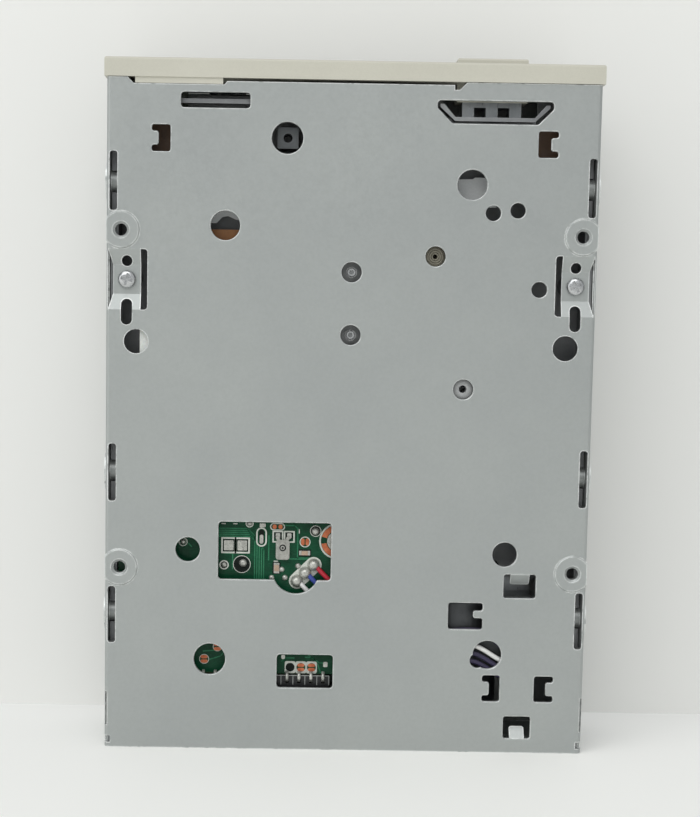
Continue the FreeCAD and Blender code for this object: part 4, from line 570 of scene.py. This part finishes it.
def wire_piece(name, routes, radius, material):
    """Round wires along smooth lines through their control points."""
    curve = bpy.data.curves.new(name, "CURVE")
    curve.dimensions = "3D"
    curve.bevel_depth = radius * mm
    curve.bevel_resolution = 5
    curve.resolution_u = 10
    curve.use_fill_caps = True
    for route in routes:
        line = curve.splines.new("NURBS")
        line.points.add(len(route) - 1)
        for point, (x, height, z) in zip(line.points, route):
            point.co = (*spot(x, height, z), 1.0)
        line.order_u = 3
        line.use_endpoint_u = True
    holder = new_piece(name + "_line", curve)
    mesh = worked_out(holder)
    bpy.data.objects.remove(holder)
    mesh.name = name
    for face in mesh.polygons:
        face.use_smooth = True
    mesh.materials.clear()
    mesh.materials.append(material)
    return new_piece(name, mesh)


def vinyl(name, dark, light):
    """Soft wire covering, faintly streaked along its length."""
    return finish(name, dark, light, 0.38, patch=260.0, grain=2600.0, stretch=(0.4, 1.0, 0.4),
                  bump=0.000008, dust=0.15)


white_vinyl = vinyl("white_vinyl", tone(206, 206, 204), tone(232, 232, 230))
violet_vinyl = vinyl("violet_vinyl", tone(36, 31, 56), tone(56, 49, 82))
wire_r, wire_height, wire_pitch = 0.5, 1.5, 1.7
first_terminal, first_pad, pad_x, pad_height = 17.1, 17.6, 10.5, 3.5
# How far each wire climbs from its terminal to pass below or above the keyhole's upper part.
below_keyhole = (-0.9, 0.0, 1.3, 2.3, 2.6)
wire_lifts = 3 * (below_keyhole,) + ((0.3, 1.9, 2.6, 2.8, 2.8), (0.3, 1.3, 2.0, 2.2, 2.2))
stepper_routes = []
for place, lifts in enumerate(wire_lifts):
    board_z = first_pad + place * wire_pitch
    end_z, *bends = [first_terminal + place * wire_pitch + lift for lift in lifts]
    route = [(32.9, 3.2, end_z), (33.2, 2.0, end_z), (33.0, wire_height, end_z + 0.1)]
    route += [(x, wire_height, z) for x, z in zip((31.6, 29.6, 27.6, 24.0), bends)]
    route += [(17.0, wire_height, board_z + 0.7), (13.0, wire_height, board_z), (11.2, 1.6, board_z)]
    stepper_routes.append(route + [(pad_x, 2.2, board_z), (pad_x, pad_height, board_z)])
violet_wires = wire_piece("stepper_wires", stepper_routes[:2] + stepper_routes[3:], wire_r, violet_vinyl)
white_wire = wire_piece("stepper_wire_white", stepper_routes[2:3], wire_r, white_vinyl)
fitted(violet_wires, "stepper_leads")
fitted(white_wire, "stepper_lead_white")

# Slider, holder and springs
# Two plated sheet pressings: the slider that the button pushes, and above it the holder that
# rides on its slanted slots. Close-wound springs pull the slider forward and the lever to its stop.
dress(slide_steel, "slider_plate", "disk_holder", "trigger_lever")
dress(
    finish("spring_wire", tone(96, 98, 102), tone(134, 136, 140), 0.28, patch=600.0, grain=5200.0,
           bump=0.000004, dust=0.15, Metallic=0.95),
    "eject_springs", "lever_spring", "flap_spring",
)
for name, node, holder, puller, holder_z, puller_z in (
    ("pull_springs", "eject_springs", "drive", "slider", 0.1291, 0.1164),
    ("lever_coil", "lever_spring", "holder", "trigger", 0.0628, 0.0597),
):
    spring = new_piece(name, nodes[node].data.copy())
    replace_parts(spring, node)
    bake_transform(spring)
dress(
    finish("white_nylon", tone(218, 218, 212), tone(236, 236, 231), 0.42, patch=200.0, grain=2400.0,
           dust=0.2, Subsurface_Weight=0.1),
    "slide_pads", "power_header",
)

# Sensor boards, switches and lamp
# Two small paper-laminate boards under the deck carry the push switches that feel the disk, and
# the lamp whose light shows through the front panel.
dress(
    finish("aged_laminate", tone(86, 64, 47), tone(106, 81, 60), 0.55, patch=220.0, grain=1600.0,
           stretch=(1.0, 1.0, 0.25), worn_and_glinting=tone(150, 122, 90), wear_and_glint=0.4, dust=0.3),
    "sensor_board_left", "sensor_board_right",
)
dress(
    finish("dark_moulding", tone(48, 48, 50), tone(64, 64, 66), 0.46, patch=300.0, grain=2800.0,
           bump=0.000015, worn_and_glinting=tone(104, 104, 106), wear_and_glint=0.3, dust=0.3),
    "switch_bodies", "protect_plunger", "density_plunger", "disk_plunger",
)
dress(
    finish("clear_green_lens", tone(58, 122, 52), tone(92, 158, 76), 0.12, patch=500.0, grain=5200.0,
           bump=0.000002, dust=0.2, Transmission_Weight=0.35, IOR=1.5),
    "led_window",
)
dress(
    finish("lamp_resin", tone(104, 110, 102), tone(132, 138, 128), 0.2, patch=500.0, grain=5200.0,
           bump=0.000002, dust=0.2, Transmission_Weight=0.2, IOR=1.5),
    "led_lamp",
)

# Main board
# Green glass-fibre board on three screws, seen from its solder side through the plate's windows:
# resist-covered tracks, tinned and bare copper pads, printed outlines, solder joints and an adjuster.
solder_side = 3.5
dress(
    finish("green_resist", tone(12, 58, 38), tone(20, 78, 52), 0.24, patch=340.0, grain=2400.0,
           stretch=(0.3, 1.0, 3.0), worn_and_glinting=tone(150, 150, 96), wear_and_glint=0.4, dust=0.2, Specular_IOR_Level=0.15),
    "main_board",
)
resist_track = finish("resist_track", tone(38, 108, 76), tone(56, 128, 92), 0.26, patch=500.0, grain=3000.0,
                      dust=0.2, Specular_IOR_Level=0.15)
white_ink = finish("white_ink", tone(196, 200, 192), tone(222, 224, 216), 0.6, patch=700.0, grain=5200.0,
                   bump=0.00002, dust=0.15)
bare_copper = finish("bare_copper", tone(176, 92, 58), tone(212, 128, 90), 0.4, patch=900.0, grain=4200.0,
                     dust=0.15, Metallic=0.55)
open_resist = finish("open_resist", tone(14, 20, 18), tone(24, 32, 28), 0.5, patch=700.0, grain=4200.0,
                     dust=0.15, Specular_IOR_Level=0.15)
tinned = finish("tinned", tone(160, 161, 155), tone(204, 204, 197), 0.32, patch=800.0, grain=3600.0,
                bump=0.00002, worn_and_glinting=tone(236, 236, 232), dust=0.1, Metallic=0.55)
tan_ceramic = finish("tan_ceramic", tone(164, 138, 116), tone(190, 166, 146), 0.5, patch=900.0, grain=4200.0,
                     dust=0.15)


def rounded(x, z, width, length, corner, turn=0.0):
    """Rounded rectangle as a closed line of points across and along the board."""
    corner = min(corner, width / 2 - 0.001, length / 2 - 0.001)
    lean = math.radians(turn)
    line = []
    for side, end, start in ((1, 1, 0), (-1, 1, 90), (-1, -1, 180), (1, -1, 270)):
        for step in range(7):
            angle = math.radians(start + 15 * step)
            across = side * (width / 2 - corner) + corner * math.cos(angle)
            along = end * (length / 2 - corner) + corner * math.sin(angle)
            line.append((
                x + across * math.cos(lean) - along * math.sin(lean),
                z + across * math.sin(lean) + along * math.cos(lean),
            ))
    return line


def slab(bm, line, low, high):
    """Closed flat shape with that outline between two heights."""
    under = [bm.verts.new(spot(x, low, z)) for x, z in line]
    over = [bm.verts.new(spot(x, high, z)) for x, z in line]
    for step in range(len(line)):
        after = (step + 1) % len(line)
        bm.faces.new((under[step], under[after], over[after], over[step]))
    bm.faces.new(under)
    bm.faces.new(over)


def band(bm, outer, inner, low, high):
    """Closed flat ring between two outlines."""
    loops = []
    for line in (outer, inner):
        for height in (low, high):
            loops.append([bm.verts.new(spot(x, height, z)) for x, z in line])
    for first, second in ((0, 1), (1, 3), (3, 2), (2, 0)):
        for step in range(len(outer)):
            after = (step + 1) % len(outer)
            bm.faces.new((loops[first][step], loops[first][after], loops[second][after], loops[second][step]))


def layer(bm, line, thickness):
    """Flat shape of that thickness on the board's underside."""
    slab(bm, line, solder_side - thickness, solder_side)


def track(bm, points, width):
    """Strip of even width along straight runs, with round ends."""
    thickness = 0.03
    for (x1, z1), (x2, z2) in zip(points, points[1:]):
        run = math.hypot(x2 - x1, z2 - z1)
        turn = math.degrees(math.atan2(z2 - z1, x2 - x1))
        layer(bm, rounded((x1 + x2) / 2, (z1 + z2) / 2, run + width, width, width / 2, turn), thickness)


def on_board(name, bm, material):
    """One shape in one finish, fixed to the drive with the board."""
    mesh = from_bmesh(name, bm)
    mesh.materials.append(material)
    fixed(new_piece(name, mesh))


tracks = bmesh.new()
fine_track, plain_track = 0.24, 0.26
for step in range(5):
    level = 46.6 - 0.42 * step
    corner = -19.9 + 0.2 * step
    drop = -19.25 + 0.48 * step
    line = [(-34.0, level), (corner - 0.9, level), (drop, level - 0.9 - (drop - corner)), (drop, 34.0)]
    track(tracks, line, fine_track)
for line in (
    [(-10.2, 46.6), (-10.2, 40.5), (-7.2, 40.5)],
    [(-12.0, 40.3), (-7.6, 40.3)],
    [(-13.5, 47.4), (-10.9, 47.4), (-10.0, 46.6)],
    [(-16.3, 45.2), (-16.3, 40.0)],
    [(-25.8, 41.3), (-23.9, 41.3), (-23.9, 38.0)],
    [(-29.9, 20.2), (-26.4, 20.5)],
    [(-28.6, 18.4), (-26.2, 19.2), (-25.2, 20.6)],
    [(-8.2, 19.2), (-6.6, 19.2), (-5.6, 17.9), (-4.9, 15.9)],
    [(-7.6, 19.7), (-5.2, 18.0), (-3.4, 18.0)],
    [(-13.2, 18.3), (-12.6, 19.0), (-10.6, 19.0)],
    [(-35.5, 43.6), (-33.6, 43.6), (-32.6, 42.6)],
):
    track(tracks, line, plain_track)
for step in range(9):
    x, z = -46.0 + 1.1 * step, 31.0 + 0.5 * step
    track(tracks, [(x, 28.5), (x, z), (-30.0, z)], fine_track)
    z = 22.0 + 1.3 * step
    track(tracks, [(12.0, z), (5.0 - 0.4 * step, z)], fine_track)
on_board("board_tracks", tracks, resist_track)

# Openings in the resist: place across and along, width, length and corner radius.
clearings = bmesh.new()
clearing_thickness = 0.035
for x, z, width, length, corner in (
    (-24.75, 43.0, 2.4, 2.5, 0.1),
    (-21.9, 43.0, 2.4, 2.5, 0.1),
    (-17.86, 44.85, 1.1, 3.1, 0.55),
    (-21.95, 39.0, 3.5, 3.5, 1.75),
    (-8.7, 41.6, 2.7, 1.5, 0.1),
    (-14.6, 38.3, 1.7, 2.5, 0.1),
    (-6.45, 46.3, 2.0, 2.0, 1.0),
    (-14.4, 45.4, 1.5, 1.6, 0.1),
    (-12.0, 45.4, 1.5, 1.6, 0.1),
    (-25.7, 38.8, 1.5, 1.5, 0.75),
    (-11.4, 17.0, 1.9, 1.9, 0.95),
    (-8.1, 14.6, 14.0, 1.5, 0.1),
):
    layer(clearings, rounded(x, z, width, length, corner), clearing_thickness)
on_board("board_clearings", clearings, open_resist)

# Printed outlines: place, width, length, corner radius and the line's own width.
ink = bmesh.new()
ink_thickness = 0.045
ink_face = solder_side - ink_thickness
for x, z, width, length, corner, line in (
    (-24.75, 43.0, 3.2, 3.4, 0.1, 0.34),
    (-21.9, 43.0, 3.2, 3.4, 0.1, 0.34),
    (-17.86, 44.85, 2.25, 4.1, 1.12, 0.3),
    (-14.5, 47.1, 3.15, 1.6, 0.8, 0.22),
    (-14.4, 45.0, 2.3, 2.5, 0.1, 0.3),
    (-12.0, 45.0, 2.3, 2.5, 0.1, 0.3),
    (-6.45, 46.3, 2.4, 2.4, 1.2, 0.14),
    (-8.65, 43.95, 2.3, 2.3, 1.15, 0.18),
    (-21.95, 39.0, 3.75, 3.75, 1.87, 0.13),
    (-25.7, 38.8, 2.0, 2.0, 1.0, 0.26),
    (-20.4, 47.7, 1.7, 1.7, 0.85, 0.2),
    (-26.9, 21.2, 2.0, 2.0, 1.0, 0.2),
    (-29.7, 18.5, 2.1, 2.1, 1.05, 0.14),
    (-1.84, 44.2, 7.7, 7.7, 3.85, 0.35),
    (-34.4, 43.6, 1.9, 1.9, 0.95, 0.2),
    (-38.5, 33.5, 6.0, 3.4, 0.3, 0.2),
    (7.4, 42.5, 5.0, 3.0, 0.3, 0.2),
):
    inside = rounded(x, z, width - 2 * line, length - 2 * line, max(corner - line, 0.02))
    band(ink, rounded(x, z, width, length, corner), inside, ink_face, solder_side)
layer(ink, rounded(-8.5, 37.35, 8.3, 3.4, 1.7, 45.0), ink_thickness)
small_pads_z = 17.0
for x in (-11.4, -9.1, -6.85):
    inside = rounded(x, small_pads_z, 1.9, 1.9, 0.95)
    band(ink, rounded(x, small_pads_z, 2.3, 2.6, 0.4), inside, ink_face, solder_side)
for x, z, width, length in (
    (-14.75, 39.75, 0.9, 0.22),
    (-25.9, 47.6, 0.9, 0.2),
    (-23.4, 47.6, 0.9, 0.2),
    (-9.9, 46.2, 0.2, 0.9),
):
    layer(ink, rounded(x, z, width, length, 0.05), ink_thickness)
on_board("board_outlines", ink, white_ink)

# Split round pads of bare copper, parted across or along, and the ring round the board's screw.
copper = bmesh.new()
copper_thickness = 0.05
pad_gap, half_narrow, half_long, half_corner = 0.47, 0.72, 1.5, 0.34
ring_x, ring_z, ring_inner, ring_outer = -1.84, 44.2, 2.3, 3.4
for side in (-1, 1):
    layer(copper, rounded(-14.5 + 0.62 * side, 47.1, 0.85, 0.95, 0.4), copper_thickness)
    half = rounded(-8.65 + pad_gap * side, 43.95, half_narrow, half_long, half_corner)
    layer(copper, half, copper_thickness)
    for x, z in ((-9.1, small_pads_z), (-6.85, small_pads_z), (-26.9, 21.2), (-29.7, 18.5)):
        layer(copper, rounded(x, z + pad_gap * side, half_long, half_narrow, half_corner), copper_thickness)
    turns = [math.radians(90 * side + 100 + 7 * step) for step in range(23)]
    arc = [(ring_x + ring_outer * math.cos(turn), ring_z + ring_outer * math.sin(turn)) for turn in turns]
    turns.reverse()
    arc += [(ring_x + ring_inner * math.cos(turn), ring_z + ring_inner * math.sin(turn)) for turn in turns]
    layer(copper, arc, copper_thickness)
on_board("bare_pads", copper, bare_copper)

# Tinned pads: place, width, length and corner radius; two pairs of them carry chip parts.
tin = bmesh.new()
pad_thickness, chip_pad_thickness, chip_thickness = 0.09, 0.12, 0.4
for x, z, width, length, corner in (
    (-24.75, 43.0, 2.0, 2.1, 0.15),
    (-21.9, 43.0, 2.0, 2.1, 0.15),
    (-17.86, 44.4, 0.75, 1.9, 0.3),
    (-17.65, 47.35, 1.25, 0.8, 0.15),
    (-14.4, 45.2, 0.9, 1.1, 0.2),
    (-12.0, 45.2, 0.9, 1.1, 0.2),
    (-3.9, 17.7, 0.9, 1.1, 0.2),
    (-12.9, 19.2, 0.8, 0.9, 0.3),
    (ring_x, ring_z, 4.3, 4.3, 2.15),
):
    layer(tin, rounded(x, z, width, length, corner), pad_thickness)
chips = bmesh.new()
for x, z, pad, chip in (
    (-8.7, 41.6, (2.3, 0.95), (1.3, 0.85)),
    (-14.6, 38.3, (1.15, 2.2), (1.0, 1.3)),
):
    layer(tin, rounded(x, z, *pad, 0.1), chip_pad_thickness)
    layer(chips, rounded(x, z, *chip, 0.06), chip_thickness)
on_board("tinned_pads", tin, tinned)
on_board("chip_parts", chips, tan_ceramic)


def solder_shape(name, radius, height):
    """Solder drawn up into a small dome on its pad."""
    foot, sides, crease = 0.02, 14, 50
    dome = ((0.35, 0.95), (0.62, 0.78), (0.82, 0.5), (0.93, 0.2))
    profile = [(0, -height)] + [(radius * across, -height * up) for across, up in dome]
    bm = bmesh.new()
    lathe(bm, profile + [(radius, foot), (0, foot)], sides)
    return from_bmesh(name, bm, crease)


def joints(name, places, radius, height, seed):
    """Solder joints on the board's underside."""
    points = [spot(x, solder_side, z) for x, z in places]
    piece = copies(name, points, solder_shape(name + "_shape", radius, height), tinned, seed=seed)
    fixed(piece)


small_joints = [(-10.05, 38.8), (-12.8, 36.25), (-15.6, 36.2), (-13.5, 38.0)]
small_joints += [(-34.4, 43.6), (-20.4, 47.7), (-25.7, 38.8)]
small_joints += [(-4.4 - 2.54 * step, 19.4 + 0.35 * (step % 3)) for step in range(4, 9)]
small_joints += [(-44.0 + 3.1 * step, 33.2 + 1.7 * (step % 4)) for step in range(5)]
small_joints += [(3.5 + 1.6 * (step % 5), 41.0 + 2.1 * (step // 5)) for step in range(15)]
stepper_joints = [(pad_x, first_pad + wire_pitch * place) for place in range(len(wire_lifts))]
joints("small_solder_joints", small_joints, radius=0.6, height=0.4, seed=5)
joints("large_solder_joints", [(-21.7, 39.25), (-6.45, 46.3)], radius=0.85, height=0.55, seed=6)
wire_joints = [(-6.75, 39.1), (-8.55, 37.35), (-10.3, 35.6)]
joints("wire_solder_joints", wire_joints, radius=1.4, height=1.5, seed=7)
joints("stepper_solder_joints", stepper_joints, radius=0.75, height=0.5, seed=8)

adjuster = bmesh.new()
dial_x, dial_z = -13.35, 42.75


def disc_line(width):
    """Circle about the adjuster's axis."""
    return rounded(dial_x, dial_z, width, width, width / 2)


slab(adjuster, rounded(dial_x, 42.3, 2.86, 4.16, 0.5), 2.62, solder_side)
band(adjuster, disc_line(2.5), disc_line(1.5), 2.5, 2.64)
band(adjuster, disc_line(0.9), disc_line(0.44), 2.42, 2.6)
for side in (-1, 1):
    slab(adjuster, rounded(dial_x + 0.95 * side, 44.5, 0.7, 1.2, 0.15, -30.0 * side), 2.9, solder_side)
slab(adjuster, rounded(dial_x, 40.75, 2.3, 0.7, 0.1), 2.54, 2.64)
adjuster_mesh = from_bmesh("adjuster", adjuster)
adjuster_mesh.materials.append(
    finish("adjuster_shell", tone(150, 150, 144), tone(186, 186, 180), 0.36, patch=900.0, grain=4200.0,
           worn_and_glinting=tone(224, 224, 220), reach=0.0001, dust=0.15, Metallic=0.7)
)
fitted(new_piece("adjuster", adjuster_mesh), "trimmer")
dial = bmesh.new()
slab(dial, disc_line(1.44), 2.58, 2.7)
on_board("adjuster_dial", dial, open_resist)

dress(
    finish("black_epoxy", tone(22, 22, 24), tone(34, 34, 36), 0.42, patch=300.0, grain=3600.0,
           worn_and_glinting=tone(70, 70, 72), wear_and_glint=0.3),
    "controller_chip", "data_header",
)


def pins_tree():
    """Square wire bent along a line of points with rounded corners, repeated in even steps."""
    kinds = {"Width": "Float", "Bend": "Float", "Count": "Int", "Step": "Vector", "Finish": "Material"}
    tree, sockets, given = shape_tree("bent_pins", "Line", kinds, "Pins")
    line = add(tree, "GeometryNodeMeshToCurve", {0: given.outputs["Line"]}).outputs[0]
    bent = add(tree, "GeometryNodeFilletCurve", {"Curve": line, "Radius": given.outputs["Bend"]}).outputs[0]
    values = {"Width": given.outputs["Width"], "Height": given.outputs["Width"]}
    section = add(tree, "GeometryNodeCurvePrimitiveQuadrilateral", values).outputs[0]
    wire = add(tree, "GeometryNodeCurveToMesh", {0: bent, 1: section, "Fill Caps": True}).outputs[0]
    values = {"Count": given.outputs["Count"], "Offset": given.outputs["Step"]}
    row = add(tree, "GeometryNodeMeshLine", values).outputs[0]
    painted(tree, given, add(tree, "GeometryNodeInstanceOnPoints", {"Points": row, "Instance": wire}))
    return tree, sockets


bent_pins, pins_sockets = pins_tree()


def pin_row(name, points, width, bend, count, step):
    """One row of bent pins, starting from the first one's line."""
    mesh = bpy.data.meshes.new(name + "_line")
    edges = [(place, place + 1) for place in range(len(points) - 1)]
    mesh.from_pydata([spot(*point) for point in points], edges, [])
    values = {"Width": width * mm, "Bend": bend * mm, "Count": count, "Finish": tinned}
    values["Step"] = [part * mm for part in step]
    piece = grown(name, mesh, bent_pins, pins_sockets, values)
    bm = bmesh.new()
    bm.from_mesh(piece.data)
    bmesh.ops.recalc_face_normals(bm, faces=bm.faces)
    bm.to_mesh(piece.data)
    bm.free()
    fixed(piece)
    return piece


low_line = ((-4.4, 4.6, 0.8), (-4.4, 4.6, 14.13), (-4.4, 1.98, 14.5), (-4.4, 1.98, 15.94), (-4.4, 3.5, 15.94))
high_line = ((-4.4, 7.14, 0.8), (-4.4, 7.14, 16.55), (-4.4, 5.1, 16.55))
power_line = ((2.75, 6.0, 0.8), (2.75, 6.0, 16.4), (2.75, 5.1, 16.4))
pin_width, pin_bend, data_pitch, power_pitch = 0.62, 0.5, 2.54, 2.5
for name, line, count, pitch, node in (
    ("data_pins_low", low_line, 17, -data_pitch, "data_pins"),
    ("data_pins_high", high_line, 17, -data_pitch, "data_pins"),
    ("power_pins_bent", power_line, 4, power_pitch, "power_pins"),
):
    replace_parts(pin_row(name, line, pin_width, pin_bend, count, (pitch, 0.0, 0.0)), node)
# Each chip leg's line: shares of the chip's half width, and heights.
leg_line = ((1.0, 6.1), (1.11, 6.1), (1.16, 5.16), (1.3, 5.16))
chip_x, chip_z, chip_half = -20.0, 33.3, 7.0
first_leg_x, first_leg_z, leg_count, leg_pitch, leg_width = -26.0, 27.3, 21, 0.6, 0.12
for side in (-1, 1):
    reach = chip_half * side
    across = [(chip_x + reach * share, height, first_leg_z) for share, height in leg_line]
    pin_row(f"chip_legs_side_{side + 2}", across, leg_width, leg_width, leg_count, (0.0, 0.0, leg_pitch))
    along = [(first_leg_x, height, chip_z + reach * share) for share, height in leg_line]
    pin_row(f"chip_legs_end_{side + 2}", along, leg_width, leg_width, leg_count, (leg_pitch, 0.0, 0.0))

# Ribs on the black header's face, drawn light grey: painted glint along them.
ribs = bmesh.new()
rib_width, rib_corner, rib_heights = 0.14, 0.05, (2.54, 2.64)
for step in range(18):
    slab(ribs, rounded(-3.13 - data_pitch * step, 14.4, rib_width, 1.9, rib_corner), *rib_heights)
slab(ribs, rounded(-24.72, 15.42, 43.4, rib_width, rib_corner), *rib_heights)
on_board(
    "header_ribs",
    ribs,
    finish("rib_painted_glint", tone(150, 153, 151), tone(176, 179, 176), 0.4, patch=300.0, grain=3600.0),
)
# Each wire's start at its joint, its bend and its far end, across and along the board.
red_vinyl = vinyl("red_vinyl", tone(168, 24, 44), tone(206, 44, 62))
blue_vinyl = vinyl("blue_vinyl", tone(34, 48, 120), tone(54, 74, 156))
for colour, material, start, bend, end in (
    ("red", red_vinyl, (-6.8, 39.4), (-2.3, 34.9), (3.7, 34.9)),
    ("blue", blue_vinyl, (-8.5, 37.65), (-4.0, 33.15), (2.0, 33.15)),
    ("white", white_vinyl, (-10.1, 35.75), (-5.6, 31.25), (0.4, 31.25)),
):
    slant = ((0.2, 3.0), (0.8, 2.9), (1.8, 2.6))
    route = [(start[0] + shift, height, start[1] - shift) for shift, height in slant]
    route += [(bend[0] - 0.8, 2.3, bend[1] + 0.8), (bend[0] + 0.6, 2.35, bend[1])]
    route += [(end[0] - 1.5, 2.4, end[1]), (end[0], 2.4, end[1]), (end[0], solder_side, end[1])]
    wire = wire_piece("board_wire_" + colour, [route], wire_r, material)
    fitted(wire, "lead_" + colour)
board_spots = ((-45.0, solder_side, 23.0), (-40.0, solder_side, 47.0), (0.0, solder_side, 38.5))
screws("board_screws", "board_screw", board_spots, length=5.8, outward=1.0, seed=3)

# Fittings under the deck
# A square moulded post and two guards of sheet, bent up to the deck, that show through
# round holes of the plate; the guards are painted near white, as light where they sit in shade.
deck_under = 10.05
post_x, post_z, post_width, post_bore = -13.55, 127.85, 4.3, 1.9
post = bmesh.new()
bore_line = rounded(post_x, post_z, post_bore, post_bore, post_bore / 2)
band(post, rounded(post_x, post_z, post_width, post_width, 0.3), bore_line, 3.2, deck_under)
on_board(
    "deck_post",
    post,
    finish("grey_moulding", tone(84, 88, 90), tone(104, 108, 110), 0.5, patch=300.0, grain=2800.0,
           worn_and_glinting=tone(140, 143, 144), wear_and_glint=0.4, dust=0.2),
)
right_edge = ((20.2, 114.6), (30.0, 114.6), (30.0, 120.6), (25.4, 120.7), (25.0, 120.35), (20.2, 120.2))
left_edge = ((-31.2, 116.4), (-31.2, 110.5), (-28.2, 110.4), (-27.0, 111.7), (-25.8, 111.9), (-24.2, 111.2))
left_edge += ((-21.4, 110.9), (-21.4, 116.4))
guard_low, guard_high, fold_low, guard_sheet = 5.6, 6.2, 6.1, 0.6
guards = bmesh.new()
for edge, x, z, length in ((right_edge, 20.5, 117.4, 5.0), (left_edge, -30.9, 114.2, 4.0)):
    slab(guards, edge, guard_low, guard_high)
    slab(guards, rounded(x, z, guard_sheet, length, 0.05), fold_low, deck_under)
# The guards are near white, paler than their sheet, as painted light where they sit in the shade of the
# holes.
on_board(
    "deck_guards",
    guards,
    finish("guard_sheet_painted_light", tone(232, 236, 237), tone(244, 246, 246), 0.5, patch=120.0, grain=2400.0,
           bump=0.000008, worn_and_glinting=tone(250, 250, 249), dust=0.1, speck=0.03),
)

# Front panel
# One beige moulding with a finely eroded grain; the flap behind its slot and the push button are
# moulded in the same colour.
beige = finish("beige_moulding", tone(191, 189, 176), tone(197, 195, 182), 0.5, patch=45.0, grain=3200.0,
               worn_and_glinting=tone(216, 214, 203), dust=0.2, speck=0.02)
dress(beige, "bezel", "eject_button", "door_flap")

# Covers
# Two galvanised sheet pressings. The lower one has windows, lanced tabs and raised pads punched
# in it and is held by two screws on its pressed-in bridges; the upper one hooks over it.
# Its edges are near white and strong: partly burr on the cut edges, partly a painted highlight along the rims
# of the holes.
galvanised = finish("galvanised_sheet", tone(164, 168, 167), tone(170, 174, 172), 0.42, patch=38.0,
                    grain=1500.0, bump=0.000008, worn_and_glinting=tone(248, 250, 248), wear_and_glint=3.0, reach=0.0004, dust=0.8,
                    settles=tone(212, 215, 213), speck=0.025, rough_play=0.06, Metallic=0.5)
dress(galvanised, "bottom_cover", "top_cover")
cover_spots = ((-46.3, 1.5, 98.4), (46.3, 1.5, 98.4))
screws("cover_screws", "cover_screw", cover_spots, length=4.8, outward=1.0, seed=8)

# Table, wall, light and camera
# A white table top against a white wall, lit softly from above the camera and from the left.


def plain_stage(name, corners, colour, see_through):
    """Plain sheet seen from its front only; light from other rays can pass a see-through one."""
    mesh = bpy.data.meshes.new(name)
    mesh.from_pydata(corners, [], [(0, 1, 2, 3)])
    piece = new_piece(name, mesh)
    material = bpy.data.materials.new(name)
    material.use_nodes = True
    tree = material.node_tree
    paint = tree.nodes["Principled BSDF"]
    paint.inputs["Base Color"].default_value = colour
    paint.inputs["Roughness"].default_value = 0.6
    hidden = add(tree, "ShaderNodeNewGeometry").outputs["Backfacing"]
    if see_through:
        looked_at = add(tree, "ShaderNodeLightPath").outputs["Is Camera Ray"]
        passed = add(tree, "ShaderNodeMath", {0: 1.0, 1: looked_at}, operation="SUBTRACT").outputs[0]
        hidden = add(tree, "ShaderNodeMath", {0: hidden, 1: passed}, operation="MAXIMUM").outputs[0]
    clear = add(tree, "ShaderNodeBsdfTransparent").outputs[0]
    seen = add(tree, "ShaderNodeMixShader", {0: hidden, 1: paint.outputs[0], 2: clear})
    tree.links.new(seen.outputs[0], tree.nodes["Material Output"].inputs["Surface"])
    mesh.materials.append(material)


wide, wall_y = 3, 0.023
table_corners = ((-wide, -wide, 0), (wide, -wide, 0), (wide, wide, 0), (-wide, wide, 0))
wall_corners = ((-wide, wall_y, 0), (wide, wall_y, 0), (wide, wall_y, wide), (-wide, wall_y, wide))
plain_stage("table_top", table_corners, tone(250, 250, 246), False)
plain_stage("wall", wall_corners, tone(234, 234, 231), True)


def soft_lamp(name, place, size, power):
    """Square lamp aimed at the middle of the drive."""
    aim = (0, 0, 0.07)
    lamp = bpy.data.lights.new(name, "AREA")
    lamp.size = size
    lamp.energy = power
    holder = new_piece(name, lamp)
    holder.location = place
    holder.rotation_euler = (Vector(aim) - Vector(place)).to_track_quat("-Z", "Y").to_euler()


soft_lamp("ceiling_light", (-0.35, -1.0, 1.4), size=1.6, power=15.5)
soft_lamp("left_window", (-1.4, -0.8, 0.5), size=1.0, power=2.6)
world = bpy.data.worlds.new("room")
world.use_nodes = True
room = world.node_tree
light = room.nodes["Background"]
light.inputs["Color"].default_value = (0.97, 0.99, 1.0, 1.0)
light.inputs["Strength"].default_value = 0.57
backdrop = add(room, "ShaderNodeBackground", {"Color": tone(226, 227, 224), "Strength": 1.0})
seen_directly = add(room, "ShaderNodeLightPath").outputs["Is Camera Ray"]
choice = add(room, "ShaderNodeMixShader", {0: seen_directly, 1: light.outputs[0], 2: backdrop.outputs[0]})
room.links.new(choice.outputs[0], room.nodes["World Output"].inputs["Surface"])
bpy.context.scene.world = world

# The lens and its shift are in pixels of a picture of this width.
picture_width, focal_length, shift_right, shift_up = 700, 1600, 40, 60
sensor_width = 36.0
camera_x, camera_y, camera_z = -0.00993, -0.34392, 0.0932
eye = bpy.data.cameras.new("photo_camera")
eye.sensor_fit = "HORIZONTAL"
eye.sensor_width = sensor_width
eye.lens = focal_length / picture_width * sensor_width
eye.shift_x = shift_right / picture_width
eye.shift_y = shift_up / picture_width
eye.clip_start = 0.01
viewer = new_piece("photo_camera", eye)
forward = Vector((0.00611, 0.99497, -0.09999)).normalized()
right = Vector((0.99985, -0.00443, 0.01701)).normalized()
up = right.cross(forward).normalized()
right = forward.cross(up).normalized()
viewer.matrix_world = Matrix((
    (right.x, up.x, -forward.x, camera_x),
    (right.y, up.y, -forward.y, camera_y),
    (right.z, up.z, -forward.z, camera_z),
    (0, 0, 0, 1),
))
bpy.context.scene.camera = viewer
bpy.context.scene.view_settings.view_transform = "Standard"
